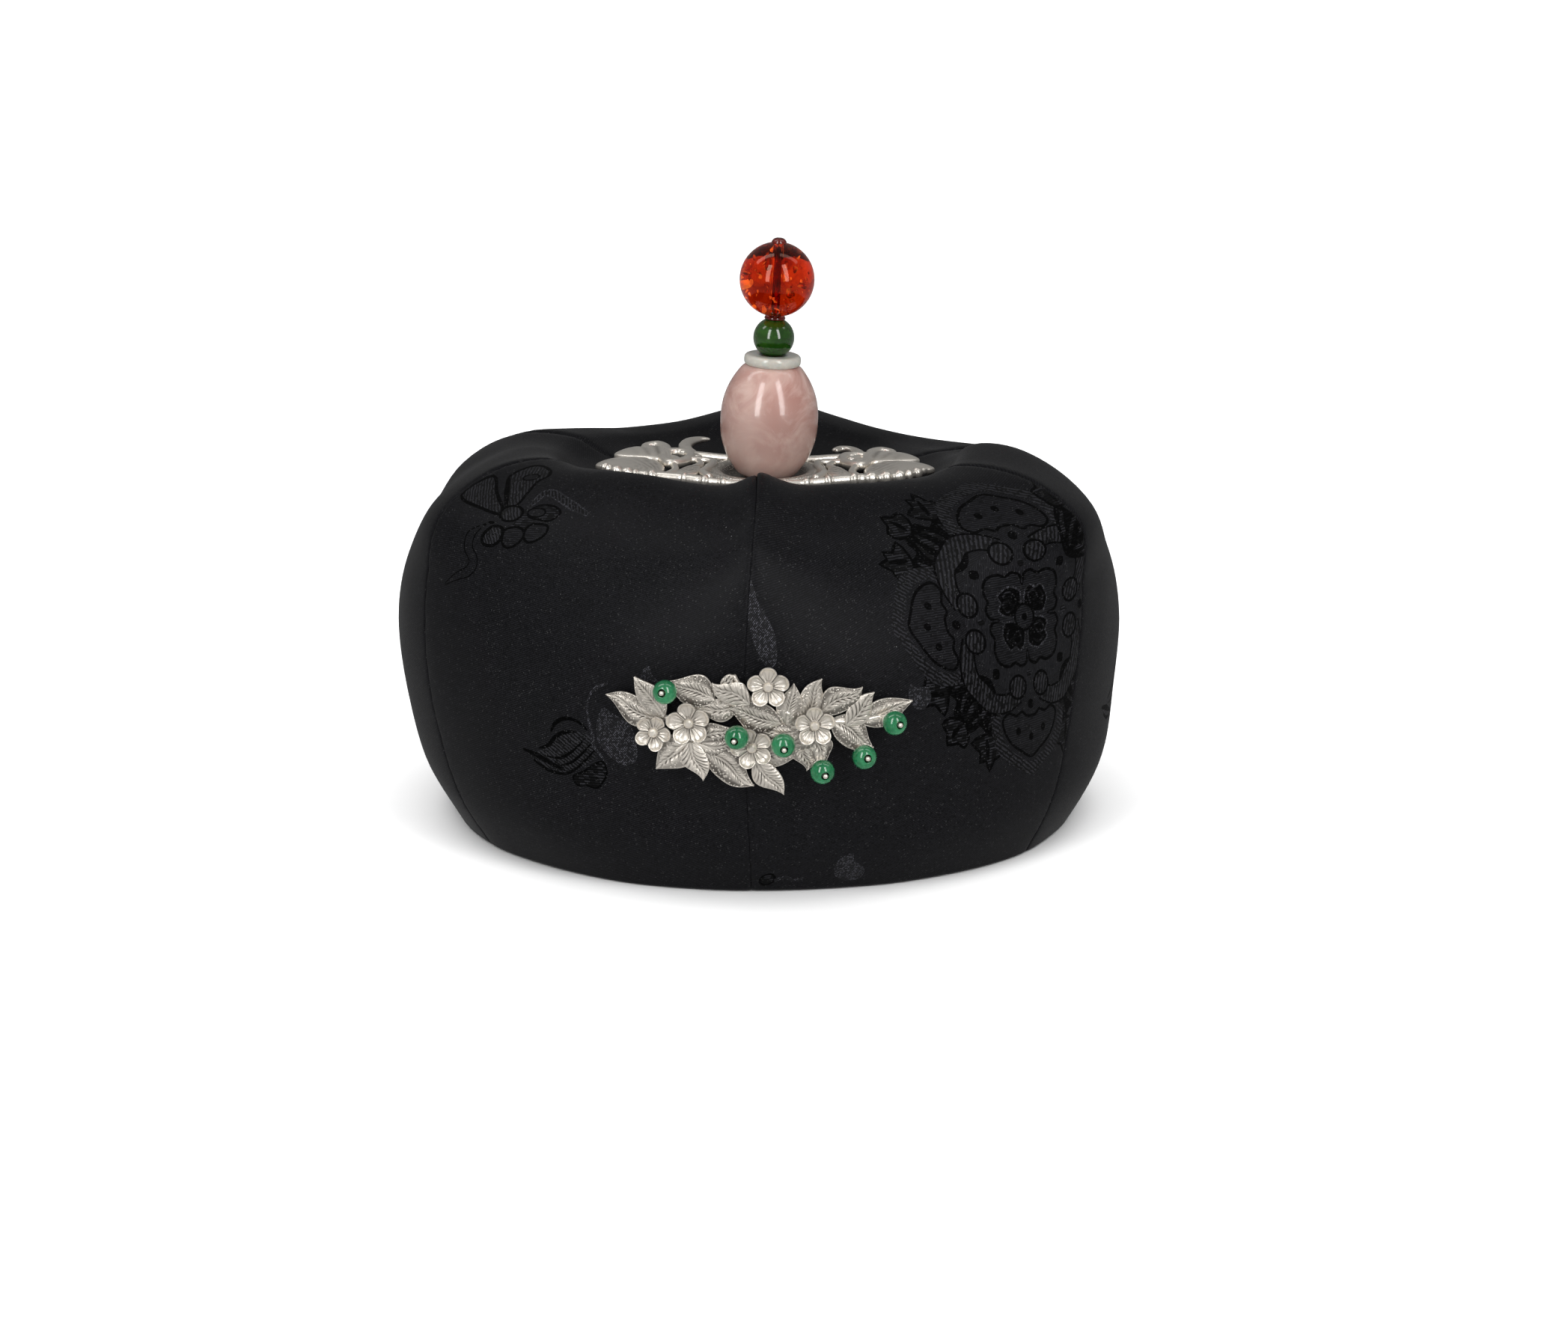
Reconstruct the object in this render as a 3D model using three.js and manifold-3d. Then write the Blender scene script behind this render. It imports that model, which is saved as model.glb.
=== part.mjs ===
// A bridal coronet: a small padded cap sewn from six gores of black silk damask, hollow below,
// with a silver butterfly plate and a stack of threaded beads in the dish of its crown,
// and a silver flower spray with green beads on its front seam.
// Millimetres, +Z up, the wearer's front towards -Y.
// The origin is the middle of the bounding box in plan, at the level of the rim.
import * as THREE from "three";
import { mergeVertices } from "three/addons/utils/BufferGeometryUtils.js";
import Module from "manifold-3d";

const wasm = await Module();
wasm.setup();

// Where the cap's own axis stands: the spray in front pushes the box's middle forwards.
const CAP_AXIS = { x: -0.6, y: 3.7 };
// Clearance between neighbouring pieces.
const GAP = 0.3;

// The cap, padded with cotton between its silk and its lining.
const WALL = 4;
const ROWS_PER_LEVEL = 2;
const COLUMNS = 12;
// The seams draw the cloth in along a narrow valley, which fades where the gores meet.
const SEAM_DEPTH = 0.9;
const SEAM_WIDTH = 1.6;
const SEAM_FADE = 25;
// Each seam stands up at the crest as a small peak that dies away over this distance.
const PEAK_WIDTH = 6.5;
// The gores meet off the cap's axis, where the beads stand.
const CROWN_SHIFT = 2.6;
const CREST_RADIUS = 50;

// The section from the rim, over the shoulder, to the middle of the crown:
// radius and height along a seam, and halfway between two seams.
const SECTION = [
  { at: "rim", seamR: 66, seamZ: 0, midR: 65.6, midZ: 0 },
  { at: "lower side", seamR: 73, seamZ: 12.5, midR: 72.8, midZ: 12.5 },
  { at: "waist", seamR: 76.8, seamZ: 28, midR: 76.4, midZ: 28 },
  { at: "widest", seamR: 78.6, seamZ: 44, midR: 78, midZ: 43.5 },
  { at: "upper side", seamR: 77, seamZ: 58.5, midR: 75, midZ: 57.5 },
  { at: "shoulder", seamR: 69.6, seamZ: 71.5, midR: 66.8, midZ: 70 },
  { at: "outer crest", seamR: 58, seamZ: 79.6, midR: 55, midZ: 78.2 },
  { at: "inner crest", seamR: 47, seamZ: 80.4, midR: 45.6, midZ: 79 },
  { at: "dish edge", seamR: 38.6, seamZ: 74, midR: 38.4, midZ: 73.4 },
  { at: "dish", seamR: 22, seamZ: 70.4, midR: 22, midZ: 70.2 },
  { at: "middle", seamR: 2.4, seamZ: 67.6, midR: 2.4, midZ: 67.6 },
];

// How much of a seam's or gore's own foot, bulge, corner and lift each level takes.
const SHARES = [
  { at: "rim", foot: 1, bulge: 0, corner: 0, lift: 0 },
  { at: "lower side", foot: 0.7, bulge: 0.4, corner: 0, lift: 0 },
  { at: "waist", foot: 0.15, bulge: 0.9, corner: 0, lift: 0 },
  { at: "widest", foot: 0, bulge: 1, corner: 0, lift: 0 },
  { at: "upper side", foot: 0, bulge: 1, corner: 0.25, lift: 0.2 },
  { at: "shoulder", foot: 0, bulge: 0.5, corner: 1, lift: 0.6 },
  { at: "outer crest", foot: 0, bulge: 0, corner: 0.8, lift: 1 },
  { at: "inner crest", foot: 0, bulge: 0, corner: 0.2, lift: 1 },
  { at: "dish edge", foot: 0, bulge: 0, corner: 0, lift: 0.2 },
  { at: "dish", foot: 0, bulge: 0, corner: 0, lift: 0 },
  { at: "middle", foot: 0, bulge: 0, corner: 0, lift: 0 },
];

// Azimuths run from the front towards +X. Sway turns a seam at its foot and at its top.
// Foot and corner add to the radius, lift and peak to the crest's height.
const SEAMS = [
  { at: "front", azimuth: -1.4, footSway: 0.8, topSway: 1.9, foot: 0, corner: 3, lift: 0.6, peak: 3.5 },
  { at: "front right", azimuth: 59, footSway: -3.6, topSway: 0, foot: 3, corner: 9, lift: 0, peak: 0.6 },
  { at: "back right", azimuth: 121, footSway: 0, topSway: 0, foot: 3, corner: 5, lift: -7.4, peak: 0.6 },
  { at: "back", azimuth: 176.2, footSway: 0, topSway: 0, foot: 0, corner: 3, lift: -3.8, peak: 3 },
  { at: "back left", azimuth: 239, footSway: 0, topSway: 0, foot: -0.4, corner: 4, lift: -4.2, peak: 0.6 },
  { at: "front left", azimuth: 299, footSway: 2, topSway: 0, foot: -0.4, corner: 5.6, lift: 0.6, peak: 0.6 },
];

// One gore between each seam and the next; these add to its middle.
const GORES = [
  { name: "gore_front_right", foot: 0, bulge: 0, corner: -5.4, lift: 0.5 },
  { name: "gore_side_right", foot: 0.6, bulge: 0.6, corner: -5, lift: 4.4 },
  { name: "gore_back_right", foot: 0, bulge: 0, corner: -3.4, lift: 0.4 },
  { name: "gore_back_left", foot: 0, bulge: 0, corner: -3, lift: -0.6 },
  { name: "gore_side_left", foot: 0, bulge: -0.6, corner: -4.9, lift: 1.6 },
  { name: "gore_front_left", foot: 0, bulge: 0, corner: -4, lift: 2.2 },
];

// Dents in a gore: where across it and at which level, how wide in millimetres, over how many levels.
const DENTS = [
  { gore: "gore_front_left", across: 0.88, level: 6.7, width: 7, reach: 1.1, depth: 1.6 },
  { gore: "gore_front_left", across: 0.66, level: 6.2, width: 5, reach: 0.8, depth: 0.6 },
  { gore: "gore_front_right", across: 0.16, level: 6.4, width: 6, reach: 1.1, depth: 0.7 },
  { gore: "gore_side_left", across: 0.3, level: 6, width: 9, reach: 0.9, depth: 0.8 },
  { gore: "gore_side_right", across: 0.62, level: 6, width: 9, reach: 0.9, depth: 0.8 },
];

// The beads of the stack, from the crown up. They stand on a wire that leans a little.
const STACK = { x: 2.15, lean: 3.2, foot: 73.2, gap: 0.2, stopperDrop: 9.9 };
const WIRE = { radius: 0.5, stopperRadius: 3, stopperHeight: 0.8, sides: 12 };
const BARREL = { radius: 10.5, endRadius: 6, height: 24, bore: 1, swell: 2.3, sides: 20, arcs: 10 };
const RING = { radius: 6.1, height: 1.9, bore: 2.6, sides: 20 };
const GREEN_BEAD = { radius: 4.4, height: 8.8, bore: 0.9, sides: 16, arcs: 8 };
const SPACER_RING = { radius: 2.4, height: 0.45, bore: 1.9, sides: 14 };
const AMBER_BEAD = { radius: 8, height: 16, bore: 0.9, sides: 20, arcs: 10 };
const TIP_BEAD = { radius: 1.6, height: 0.9, bore: 0.8, sides: 10, arcs: 4 };

// The silver plate: a butterfly seen from above, its wings to both sides of the stack.
const PLATE = {
  x: 1.8,
  under: 73.3,
  thickness: 1.75,
  halfSpan: 36.5,
  turn: -2.8,
  wingRise: 0.0011,
  rightWingDroop: 0.0018,
  holeRadius: 10.8,
  collarRadius: 13.4,
};
// The wings' lobes lie over each other like feathers, each with its own top.
const FEATHERS = [
  { x: 27, y: 0.6, length: 19, width: 8.6, heading: 0, top: 1.8 },
  { x: 24.6, y: 6.6, length: 17, width: 7.4, heading: 28, top: 1.7 },
  { x: 22.4, y: 11.4, length: 15, width: 7, heading: 48, top: 1.6 },
  { x: 21.6, y: 17.8, length: 13, width: 7.4, heading: 66, top: 1.5 },
  { x: 19.5, y: 2.6, length: 15, width: 12, heading: 20, top: 1.4 },
];
const EYE_HOLE = { x: 22.6, y: 19.8, length: 2.6, width: 2, heading: 60, top: 3 };
// Round bars of the openwork, each through its points.
const BARS = [
  { at: "outer front rim", radius: 1.2, points: [[32.5, -1.5], [28.5, -5.8], [22, -9.2], [15.5, -10.6]] },
  { at: "inner front rim", radius: 1.4, points: [[17, -10.2], [10, -13], [4.5, -14.2], [-2, -14.4]] },
  { at: "hook", radius: 1.2, points: [[15.2, 11], [16.2, 16], [18, 21], [17.4, 26], [15, 28.4], [12.6, 28]] },
  { at: "back bar", radius: 1.3, points: [[20, 11.4], [14.5, 10.6], [9.5, 10], [6, 8.4]] },
  { at: "inner bar", radius: 1, points: [[9.8, 10], [13.6, 5.5], [14.6, 0.5], [14.4, -3.5], [14, -9.8]] },
];
const BAR_HEIGHT = 1.35;
// The barrel stands in a shallow cup under the plate's middle; heights count from the plate's underside.
const CUP = { radius: 12.6, inside: 11.4, top: 0.3, floorTop: -0.65, foot: -1.25, hole: 1.4 };
const APRON = { x: 0, y: -12.4, length: 22, width: 4.6, heading: 0, top: 1.65 };
// The castings start below the plate's underside and are then cut off flat.
const BELOW_PLATE = -1;
const OVAL_SIDES = 14;
const ROUND_SIDES = 24;
const BAR_SIDES = 6;

// The spray is laid out flat, u to the right and v up from its middle, then bent to follow the cap.
const SPRAY = { x: 0.9, z: 38.4, bendRadius: 88, standOff: 79 };
const LEAF = { thickness: 0.8, ridge: 0.7, blunt: 0.15, fullness: 0.85, sections: 4 };
// Each leaf runs from its base to its tip; layer lifts it over its neighbours.
const LEAVES = [
  { base: [-19.6, 1.9], tip: [-30.9, 6], width: 4.4, layer: 0.4 },
  { base: [-19.4, 2.8], tip: [-24.6, 10.4], width: 3.9, layer: 0.9 },
  { base: [-8.6, 6.8], tip: [-17.6, 9.8], width: 5, layer: 0.4 },
  { base: [-3.6, 5.6], tip: [-12.2, 4.6], width: 3, layer: 0 },
  { base: [-1.7, 5.8], tip: [-9.1, 9.9], width: 3.5, layer: 0.9 },
  { base: [4.6, 1.6], tip: [-6, 4], width: 4.9, layer: 0.4 },
  { base: [5.9, 1.5], tip: [7, 9.6], width: 3.6, layer: 0.4 },
  { base: [8.4, 1.6], tip: [12.6, 10.4], width: 4, layer: 0 },
  { base: [12.6, 3.8], tip: [20.7, 8.4], width: 4.2, layer: 0.4 },
  { base: [17.9, 0.6], tip: [23.2, 7.1], width: 3.6, layer: 0.4 },
  { base: [20.2, 1], tip: [31.2, 4.7], width: 4.2, layer: 0 },
  { base: [14.6, 1.4], tip: [23.1, -4.2], width: 4.9, layer: 0 },
  { base: [8.9, -2.4], tip: [9.8, -8.3], width: 3, layer: 0.2 },
  { base: [10.8, -2.1], tip: [13, -7.2], width: 3.6, layer: 0 },
  { base: [-0.4, -6.4], tip: [7.5, -5.6], width: 3, layer: 0 },
  { base: [-0.6, -6.5], tip: [4.7, -13.2], width: 3.5, layer: 0.4 },
  { base: [-10.2, -4.8], tip: [-0.9, -11.2], width: 4.9, layer: 0.2 },
  { base: [-13.4, -3], tip: [-10.9, -10.5], width: 3.8, layer: 0.4 },
  { base: [-14, -2.4], tip: [-20.4, -8.6], width: 5, layer: 0 },
  { base: [-12.4, -2.4], tip: [-5.2, 1.4], width: 3, layer: 0.2 },
  { base: [-12.4, -3.2], tip: [-5.6, -3.6], width: 2.8, layer: 0.2 },
  { base: [7.8, -0.2], tip: [0.6, -0.6], width: 3.4, layer: 0.2 },
];
const FLOWERS = [
  { u: -20.8, v: -0.9, radius: 3.7, turn: 30 },
  { u: -13.7, v: 1.4, radius: 4.4, turn: 12 },
  { u: 1.9, v: 9.2, radius: 4.2, turn: 0 },
  { u: 11, v: 1, radius: 4.1, turn: 4 },
  { u: -1.3, v: -3.4, radius: 4.2, turn: 20 },
];
const FLOWER = { petals: 5, lobe: 0.2, roundness: 0.6, sides: 20, under: 0.75, height: 1.05 };
const BOSS = { radius: 1.1, height: 2.5, sides: 8 };
// The spray's green beads on their posts; tilts are in degrees to the right and up.
const SPRAY_BEADS = [
  { u: -17.8, v: 8.4, tiltU: -4, tiltV: 8 },
  { u: -4.1, v: -0.5, tiltU: -10, tiltV: -6 },
  { u: 4.7, v: -2.1, tiltU: 2, tiltV: -10 },
  { u: 12.2, v: -7.8, tiltU: 6, tiltV: -8 },
  { u: 20.3, v: -5.2, tiltU: 4, tiltV: 6 },
  { u: 26.3, v: 1.4, tiltU: 10, tiltV: 2 },
];
const SPRAY_BEAD = { radius: 2.45, height: 4.9, bore: 0.85, centre: 4.5, sides: 12, arcs: 6 };
const POST = { radius: 0.55, root: 0.5, sides: 8 };
// Stems behind the leaves, soldered to all of them.
const STEM_RADIUS = 0.8;
const STEM_SIDES = 5;
const STEMS = [
  [[-27, 4.4], [-19.6, 2.2], [-14, 1], [-7, 1.4], [0, 0.2], [7, 0.4], [14.6, 1.2], [20.2, 1.2], [26.3, 2.1]],
  [[-16.6, -5], [-13.4, -3], [-8, -4.6], [-1, -6.4], [3.4, -5.6], [8, -3.2], [11, -1.4]],
  [[-19.9, 2.4], [-19.4, 6], [-17.8, 8.4]],
  [[-14, 1], [-10.4, 6.4], [-5.4, 8.2], [-1.7, 6], [1.7, 8.4]],
  [[-5, 11], [-3.6, 8.6], [-1.7, 6], [-1, 0.4]],
  [[-13.8, 0.8], [-13.4, -3.4]],
  [[14.6, 1.2], [17.8, -1.6], [20.2, -5.4]],
  [[9.6, -2.2], [11.6, -6], [12.1, -7.8]],
];

const SILK = { color: 0x141417, roughness: 0.55, metalness: 0 };
const SILVER = { color: 0xb4aca0, roughness: 0.35, metalness: 1 };
const QUARTZ = { color: 0xc79a94, roughness: 0.15, metalness: 0 };
const WHITE_JADE = { color: 0xd8d6cc, roughness: 0.2, metalness: 0 };
const GREEN_JADE = { color: 0x1e5a1e, roughness: 0.12, metalness: 0 };
const AMBER = { color: 0xa81e08, roughness: 0.05, metalness: 0 };
const DARK_RED = { color: 0x5a0c08, roughness: 0.1, metalness: 0 };
const GREEN_GLASS = { color: 0x1e8049, roughness: 0.1, metalness: 0 };
const STEEL = { color: 0x8c8c8c, roughness: 0.4, metalness: 1 };

const radians = THREE.MathUtils.degToRad;
const lerp = THREE.MathUtils.lerp;

// Catmull-Rom through one column of a table, at a place counted in rows.
function column(table, key, place) {
  const last = table.length - 1;
  const row = Math.min(Math.floor(place), last - 1);
  const value = (index) => table[THREE.MathUtils.clamp(index, 0, last)][key];
  const [before, start, end, after] = [-1, 0, 1, 2].map((step) => value(row + step));
  const t = place - row;
  const leave = (end - before) / 2;
  const arrive = (after - start) / 2;
  return (
    (2 * start - 2 * end + leave + arrive) * t ** 3 +
    (3 * end - 3 * start - 2 * leave - arrive) * t ** 2 +
    leave * t +
    start
  );
}

// Radius and height of the cap's outer face on one gore, across it from 0 to 1, before the seam valley.
function capSection(gore, level, across) {
  const [left, right] = [SEAMS[gore], SEAMS[(gore + 1) % SEAMS.length]];
  const span = radians(THREE.MathUtils.euclideanModulo(right.azimuth - left.azimuth, 360));
  const arch = Math.sin(Math.PI * across);
  const ease = (1 - Math.cos(Math.PI * across)) / 2;
  const size = (key) => column(SECTION, key, level);
  const share = (key) => column(SHARES, key, level);
  const own = (key) => share(key) * (lerp(left[key], right[key], ease) + GORES[gore][key] * arch ** 2);
  const bulge = share("bulge") * GORES[gore].bulge * arch ** 2;
  const r = lerp(size("seamR"), size("midR"), arch) + own("foot") + own("corner") + bulge;
  const peaks =
    left.peak * Math.exp((-r * span * across) / PEAK_WIDTH) +
    right.peak * Math.exp((-r * span * (1 - across)) / PEAK_WIDTH);
  const z = lerp(size("seamZ"), size("midZ"), arch) + own("lift") + share("lift") * peaks;
  const swayOf = (seam) => radians(seam.footSway * share("foot") + seam.topSway * share("lift"));
  const start = radians(left.azimuth) + swayOf(left);
  return { r, z, start, turn: span + swayOf(right) - swayOf(left) };
}

// How far the seam valleys and the dents sink the outer face, on a gore this wide at this radius.
function dentDepth(gore, level, across, radius, width) {
  const toSeam = width * Math.min(across, 1 - across);
  const valley = SEAM_DEPTH * Math.exp(-toSeam / SEAM_WIDTH) * Math.min(1, radius / SEAM_FADE);
  return DENTS.filter((dent) => dent.gore === GORES[gore].name).reduce((sum, dent) => {
    const aside = ((across - dent.across) * width) / dent.width;
    const above = (level - dent.level) / dent.reach;
    return sum + dent.depth * Math.exp(-(aside ** 2) - above ** 2);
  }, valley);
}

// A point of a gore in the cap's own axes: on its outer face, or on its lining at the wall's depth.
function capPoint(gore, level, across, lining) {
  const step = 0.02;
  const last = SECTION.length - 1;
  const { r, z, start, turn } = capSection(gore, level, across);
  const low = capSection(gore, Math.max(level - step, 0), across);
  const high = capSection(gore, Math.min(level + step, last), across);
  const along = new THREE.Vector2(high.r - low.r, high.z - low.z).normalize();
  const sink = lining ? WALL : dentDepth(gore, level, across, r, r * turn);
  const radius = r - along.y * sink;
  const height = level === 0 ? 0 : z + along.x * sink;
  const inset = Math.asin(GAP / 2 / radius);
  const azimuth = start + inset + (turn - 2 * inset) * across;
  const shift = CROWN_SHIFT * Math.max(0, 1 - radius / CREST_RADIUS);
  return new THREE.Vector3(radius * Math.sin(azimuth) + shift, -radius * Math.cos(azimuth), height);
}

// A closed body from two facing grids of points, the second behind the first.
function slab(front, back) {
  const [rows, columns] = [front.length, front[0].length];
  const points = [...front.flat(), ...back.flat()];
  const index = [];
  const at = (side, row, col) => side * rows * columns + row * columns + col;
  const quad = (a, b, c, d) => index.push(a, b, c, a, c, d);
  for (let row = 0; row < rows - 1; row++)
    for (let col = 0; col < columns - 1; col++) {
      quad(at(0, row, col), at(0, row, col + 1), at(0, row + 1, col + 1), at(0, row + 1, col));
      quad(at(1, row, col), at(1, row + 1, col), at(1, row + 1, col + 1), at(1, row, col + 1));
    }
  const [lastRow, lastCol] = [rows - 1, columns - 1];
  for (let row = 0; row < lastRow; row++) {
    quad(at(1, row, 0), at(0, row, 0), at(0, row + 1, 0), at(1, row + 1, 0));
    quad(at(0, row, lastCol), at(1, row, lastCol), at(1, row + 1, lastCol), at(0, row + 1, lastCol));
  }
  for (let col = 0; col < lastCol; col++) {
    quad(at(1, 0, col), at(1, 0, col + 1), at(0, 0, col + 1), at(0, 0, col));
    quad(at(0, lastRow, col), at(0, lastRow, col + 1), at(1, lastRow, col + 1), at(1, lastRow, col));
  }
  const geometry = new THREE.BufferGeometry().setFromPoints(points);
  geometry.setIndex(index);
  return geometry;
}

function goreGeometry(gore) {
  const rows = (SECTION.length - 1) * ROWS_PER_LEVEL;
  const grid = (lining) =>
    Array.from({ length: rows + 1 }, (_, row) =>
      Array.from({ length: COLUMNS + 1 }, (_, col) => {
        const across = (1 - Math.cos((Math.PI * col) / COLUMNS)) / 2;
        return capPoint(gore, row / ROWS_PER_LEVEL, across, lining);
      }),
    );
  return slab(grid(false), grid(true));
}

function solidOf(geometry) {
  const bare = geometry.clone();
  bare.deleteAttribute("normal");
  bare.deleteAttribute("uv");
  const merged = mergeVertices(bare, 1e-4);
  const mesh = new wasm.Mesh({
    numProp: 3,
    vertProperties: merged.attributes.position.array,
    triVerts: new Uint32Array(merged.index.array),
  });
  return new wasm.Manifold(mesh);
}

function geometryOf(solid) {
  const { vertProperties, triVerts } = solid.getMesh();
  const geometry = new THREE.BufferGeometry();
  geometry.setAttribute("position", new THREE.BufferAttribute(vertProperties, 3));
  geometry.setIndex(new THREE.BufferAttribute(triVerts, 1));
  return geometry;
}

const joined = (geometries) => geometries.map(solidOf).reduce((sum, next) => sum.add(next));

// A turned body about +Z from a profile of [radius, height] points that climbs its outside.
function turned(profile, sides) {
  const points = profile.map(([radius, height]) => new THREE.Vector2(radius, height));
  return new THREE.LatheGeometry(points, sides).rotateX(Math.PI / 2);
}

// A bored bead, its middle at the origin.
function beadGeometry({ radius, height, bore, sides, arcs }) {
  const stop = Math.acos(bore / radius);
  const outside = Array.from({ length: arcs + 1 }, (_, step) => {
    const angle = lerp(-stop, stop, step / arcs);
    return [radius * Math.cos(angle), (height / 2) * Math.sin(angle)];
  });
  return turned([...outside, outside[0]], sides);
}

function barrelGeometry({ radius, endRadius, height, bore, swell, sides, arcs }) {
  const outside = Array.from({ length: arcs + 1 }, (_, step) => {
    const along = (2 * step) / arcs - 1;
    return [lerp(radius, endRadius, Math.abs(along) ** swell), (along * height) / 2];
  });
  const [low, high] = [-height / 2, height / 2];
  return turned([[bore, low], ...outside, [bore, high], [bore, low]], sides);
}

function ringGeometry({ radius, height, bore, sides }) {
  const bevel = height / 4;
  const [low, high] = [-height / 2, height / 2];
  const profile = [
    [bore, low],
    [radius - bevel, low],
    [radius, low + bevel],
    [radius, high - bevel],
    [radius - bevel, high],
    [bore, high],
    [bore, low],
  ];
  return turned(profile, sides);
}

function wireGeometry(length) {
  const { radius, stopperRadius, stopperHeight, sides } = WIRE;
  const profile = [
    [0, 0],
    [stopperRadius, 0],
    [stopperRadius, stopperHeight],
    [radius, stopperHeight],
    [radius, length],
    [0, length],
  ];
  return turned(profile, sides);
}

// A flat oval from a low level to its top, its long axis turned by heading from +X towards +Y.
function ovalGeometry({ x, y, length, width, heading, top }, sides = OVAL_SIDES, low = BELOW_PLATE) {
  const ellipse = new THREE.EllipseCurve(0, 0, length / 2, width / 2);
  const outline = new THREE.Shape(ellipse.getPoints(sides).slice(0, sides));
  return new THREE.ExtrudeGeometry(outline, { depth: top - low, bevelEnabled: false })
    .rotateZ(radians(heading))
    .translate(x, y, low);
}

function roundGeometry(radius, top, low) {
  const size = { x: 0, y: 0, length: 2 * radius, width: 2 * radius, heading: 0, top };
  return ovalGeometry(size, ROUND_SIDES, low);
}

// A round bar through flat points at one height, with flat ends.
function barGeometry(points, height, radius, sides, stepsPerPoint) {
  const curve = new THREE.CatmullRomCurve3(points.map(([x, y]) => new THREE.Vector3(x, y, height)));
  const circle = new THREE.EllipseCurve(0, 0, radius, radius).getPoints(sides).slice(0, sides);
  const steps = (points.length - 1) * stepsPerPoint;
  const options = { extrudePath: curve, steps, bevelEnabled: false };
  return new THREE.ExtrudeGeometry(new THREE.Shape(circle), options);
}

function plateGeometry() {
  const { thickness, halfSpan, wingRise, rightWingDroop, holeRadius, collarRadius } = PLATE;
  const mirror = ({ x, heading, ...rest }) => ({ ...rest, x: -x, heading: 180 - heading });
  const bothSides = (table) => [...table, ...table.map(mirror)];
  const ovals = [...bothSides(FEATHERS), APRON].map((row) => ovalGeometry(row));
  const routes = BARS.flatMap(({ points, radius }) => [
    { radius, points },
    { radius, points: points.map(([x, y]) => [-x, y]) },
  ]);
  const bars = routes.map(({ points, radius }) => barGeometry(points, BAR_HEIGHT, radius, BAR_SIDES, 2));
  const metal = joined([...ovals, roundGeometry(collarRadius, thickness, BELOW_PLATE), ...bars])
    .subtract(joined(bothSides([EYE_HOLE]).map((row) => ovalGeometry(row))))
    .subtract(solidOf(roundGeometry(holeRadius, 2 * thickness, BELOW_PLATE)))
    .subtract(solidOf(roundGeometry(2 * halfSpan, 0, 3 * BELOW_PLATE)));
  const cup = solidOf(roundGeometry(CUP.radius, CUP.top, CUP.foot))
    .subtract(solidOf(roundGeometry(CUP.inside, 2 * thickness, CUP.floorTop)))
    .subtract(solidOf(roundGeometry(CUP.hole, 2 * thickness, 2 * CUP.foot)));
  const geometry = geometryOf(metal.add(cup));
  const place = geometry.attributes.position;
  // The wings curve up towards their tips, and the back of the right one hangs a little.
  for (let index = 0; index < place.count; index++) {
    const [x, y, z] = [place.getX(index), place.getY(index), place.getZ(index)];
    place.setZ(index, z + wingRise * x ** 2 - rightWingDroop * Math.max(x, 0) * Math.max(y, 0));
  }
  return geometry;
}

// A pointed leaf lying along +X from the origin, with a ridge down its middle.
function leafGeometry(length, width) {
  const { thickness, ridge, blunt, fullness, sections } = LEAF;
  const edgeToEdge = (step, edgeHeight, middleHeight) => {
    const x = (step / sections) * length;
    const half = Math.max((width / 2) * Math.sin(Math.PI * (step / sections) ** fullness), blunt);
    return [
      new THREE.Vector3(x, half, edgeHeight),
      new THREE.Vector3(x, 0, middleHeight),
      new THREE.Vector3(x, -half, edgeHeight),
    ];
  };
  const steps = Array.from({ length: sections + 1 }, (_, step) => step);
  const crest = (step) => thickness + ridge * Math.sin((Math.PI * step) / sections);
  const front = steps.map((step) => edgeToEdge(step, thickness, crest(step)));
  const back = steps.map((step) => edgeToEdge(step, 0, 0));
  return slab(front, back);
}

function flowerGeometries({ u, v, radius, turn }) {
  const { petals, lobe, roundness, sides, under, height } = FLOWER;
  const outline = Array.from({ length: sides }, (_, side) => {
    const angle = (2 * Math.PI * side) / sides;
    const reach = radius * (1 - lobe + lobe * Math.abs(Math.sin((petals * angle) / 2)) ** roundness);
    return new THREE.Vector2(reach * Math.cos(angle), reach * Math.sin(angle));
  });
  const corolla = new THREE.ExtrudeGeometry(new THREE.Shape(outline), { depth: height, bevelEnabled: false });
  corolla.rotateZ(radians(90 + turn)).translate(u, v, under);
  const boss = new THREE.CylinderGeometry(BOSS.radius, BOSS.radius, BOSS.height, BOSS.sides);
  boss.rotateX(Math.PI / 2).translate(u, v, BOSS.height / 2);
  return [corolla, boss];
}

// A bead's place in the flat layout, its axis leaning from +W, out of the cloth, by its tilts.
function beadFrame({ u, v, tiltU, tiltV }) {
  const turn = new THREE.Matrix4().makeRotationFromEuler(new THREE.Euler(radians(-tiltV), radians(tiltU), 0));
  return turn.setPosition(u, v, SPRAY_BEAD.centre);
}

function postGeometry(bead) {
  const top = SPRAY_BEAD.height / 2 - GAP / 2;
  const bottom = POST.root - SPRAY_BEAD.centre;
  return new THREE.CylinderGeometry(POST.radius, POST.radius, top - bottom, POST.sides)
    .rotateX(Math.PI / 2)
    .translate(0, 0, (top + bottom) / 2)
    .applyMatrix4(beadFrame(bead));
}

// The flat layout's place (u, v, w) on the bent spray, in the cap's axes.
function bent({ x: u, y: v, z: w }) {
  const { x, z, bendRadius, standOff } = SPRAY;
  const angle = u / bendRadius;
  const reach = bendRadius + w;
  const forward = reach * Math.cos(angle) - bendRadius + standOff;
  return new THREE.Vector3(x + reach * Math.sin(angle), -forward, z + v);
}

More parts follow.
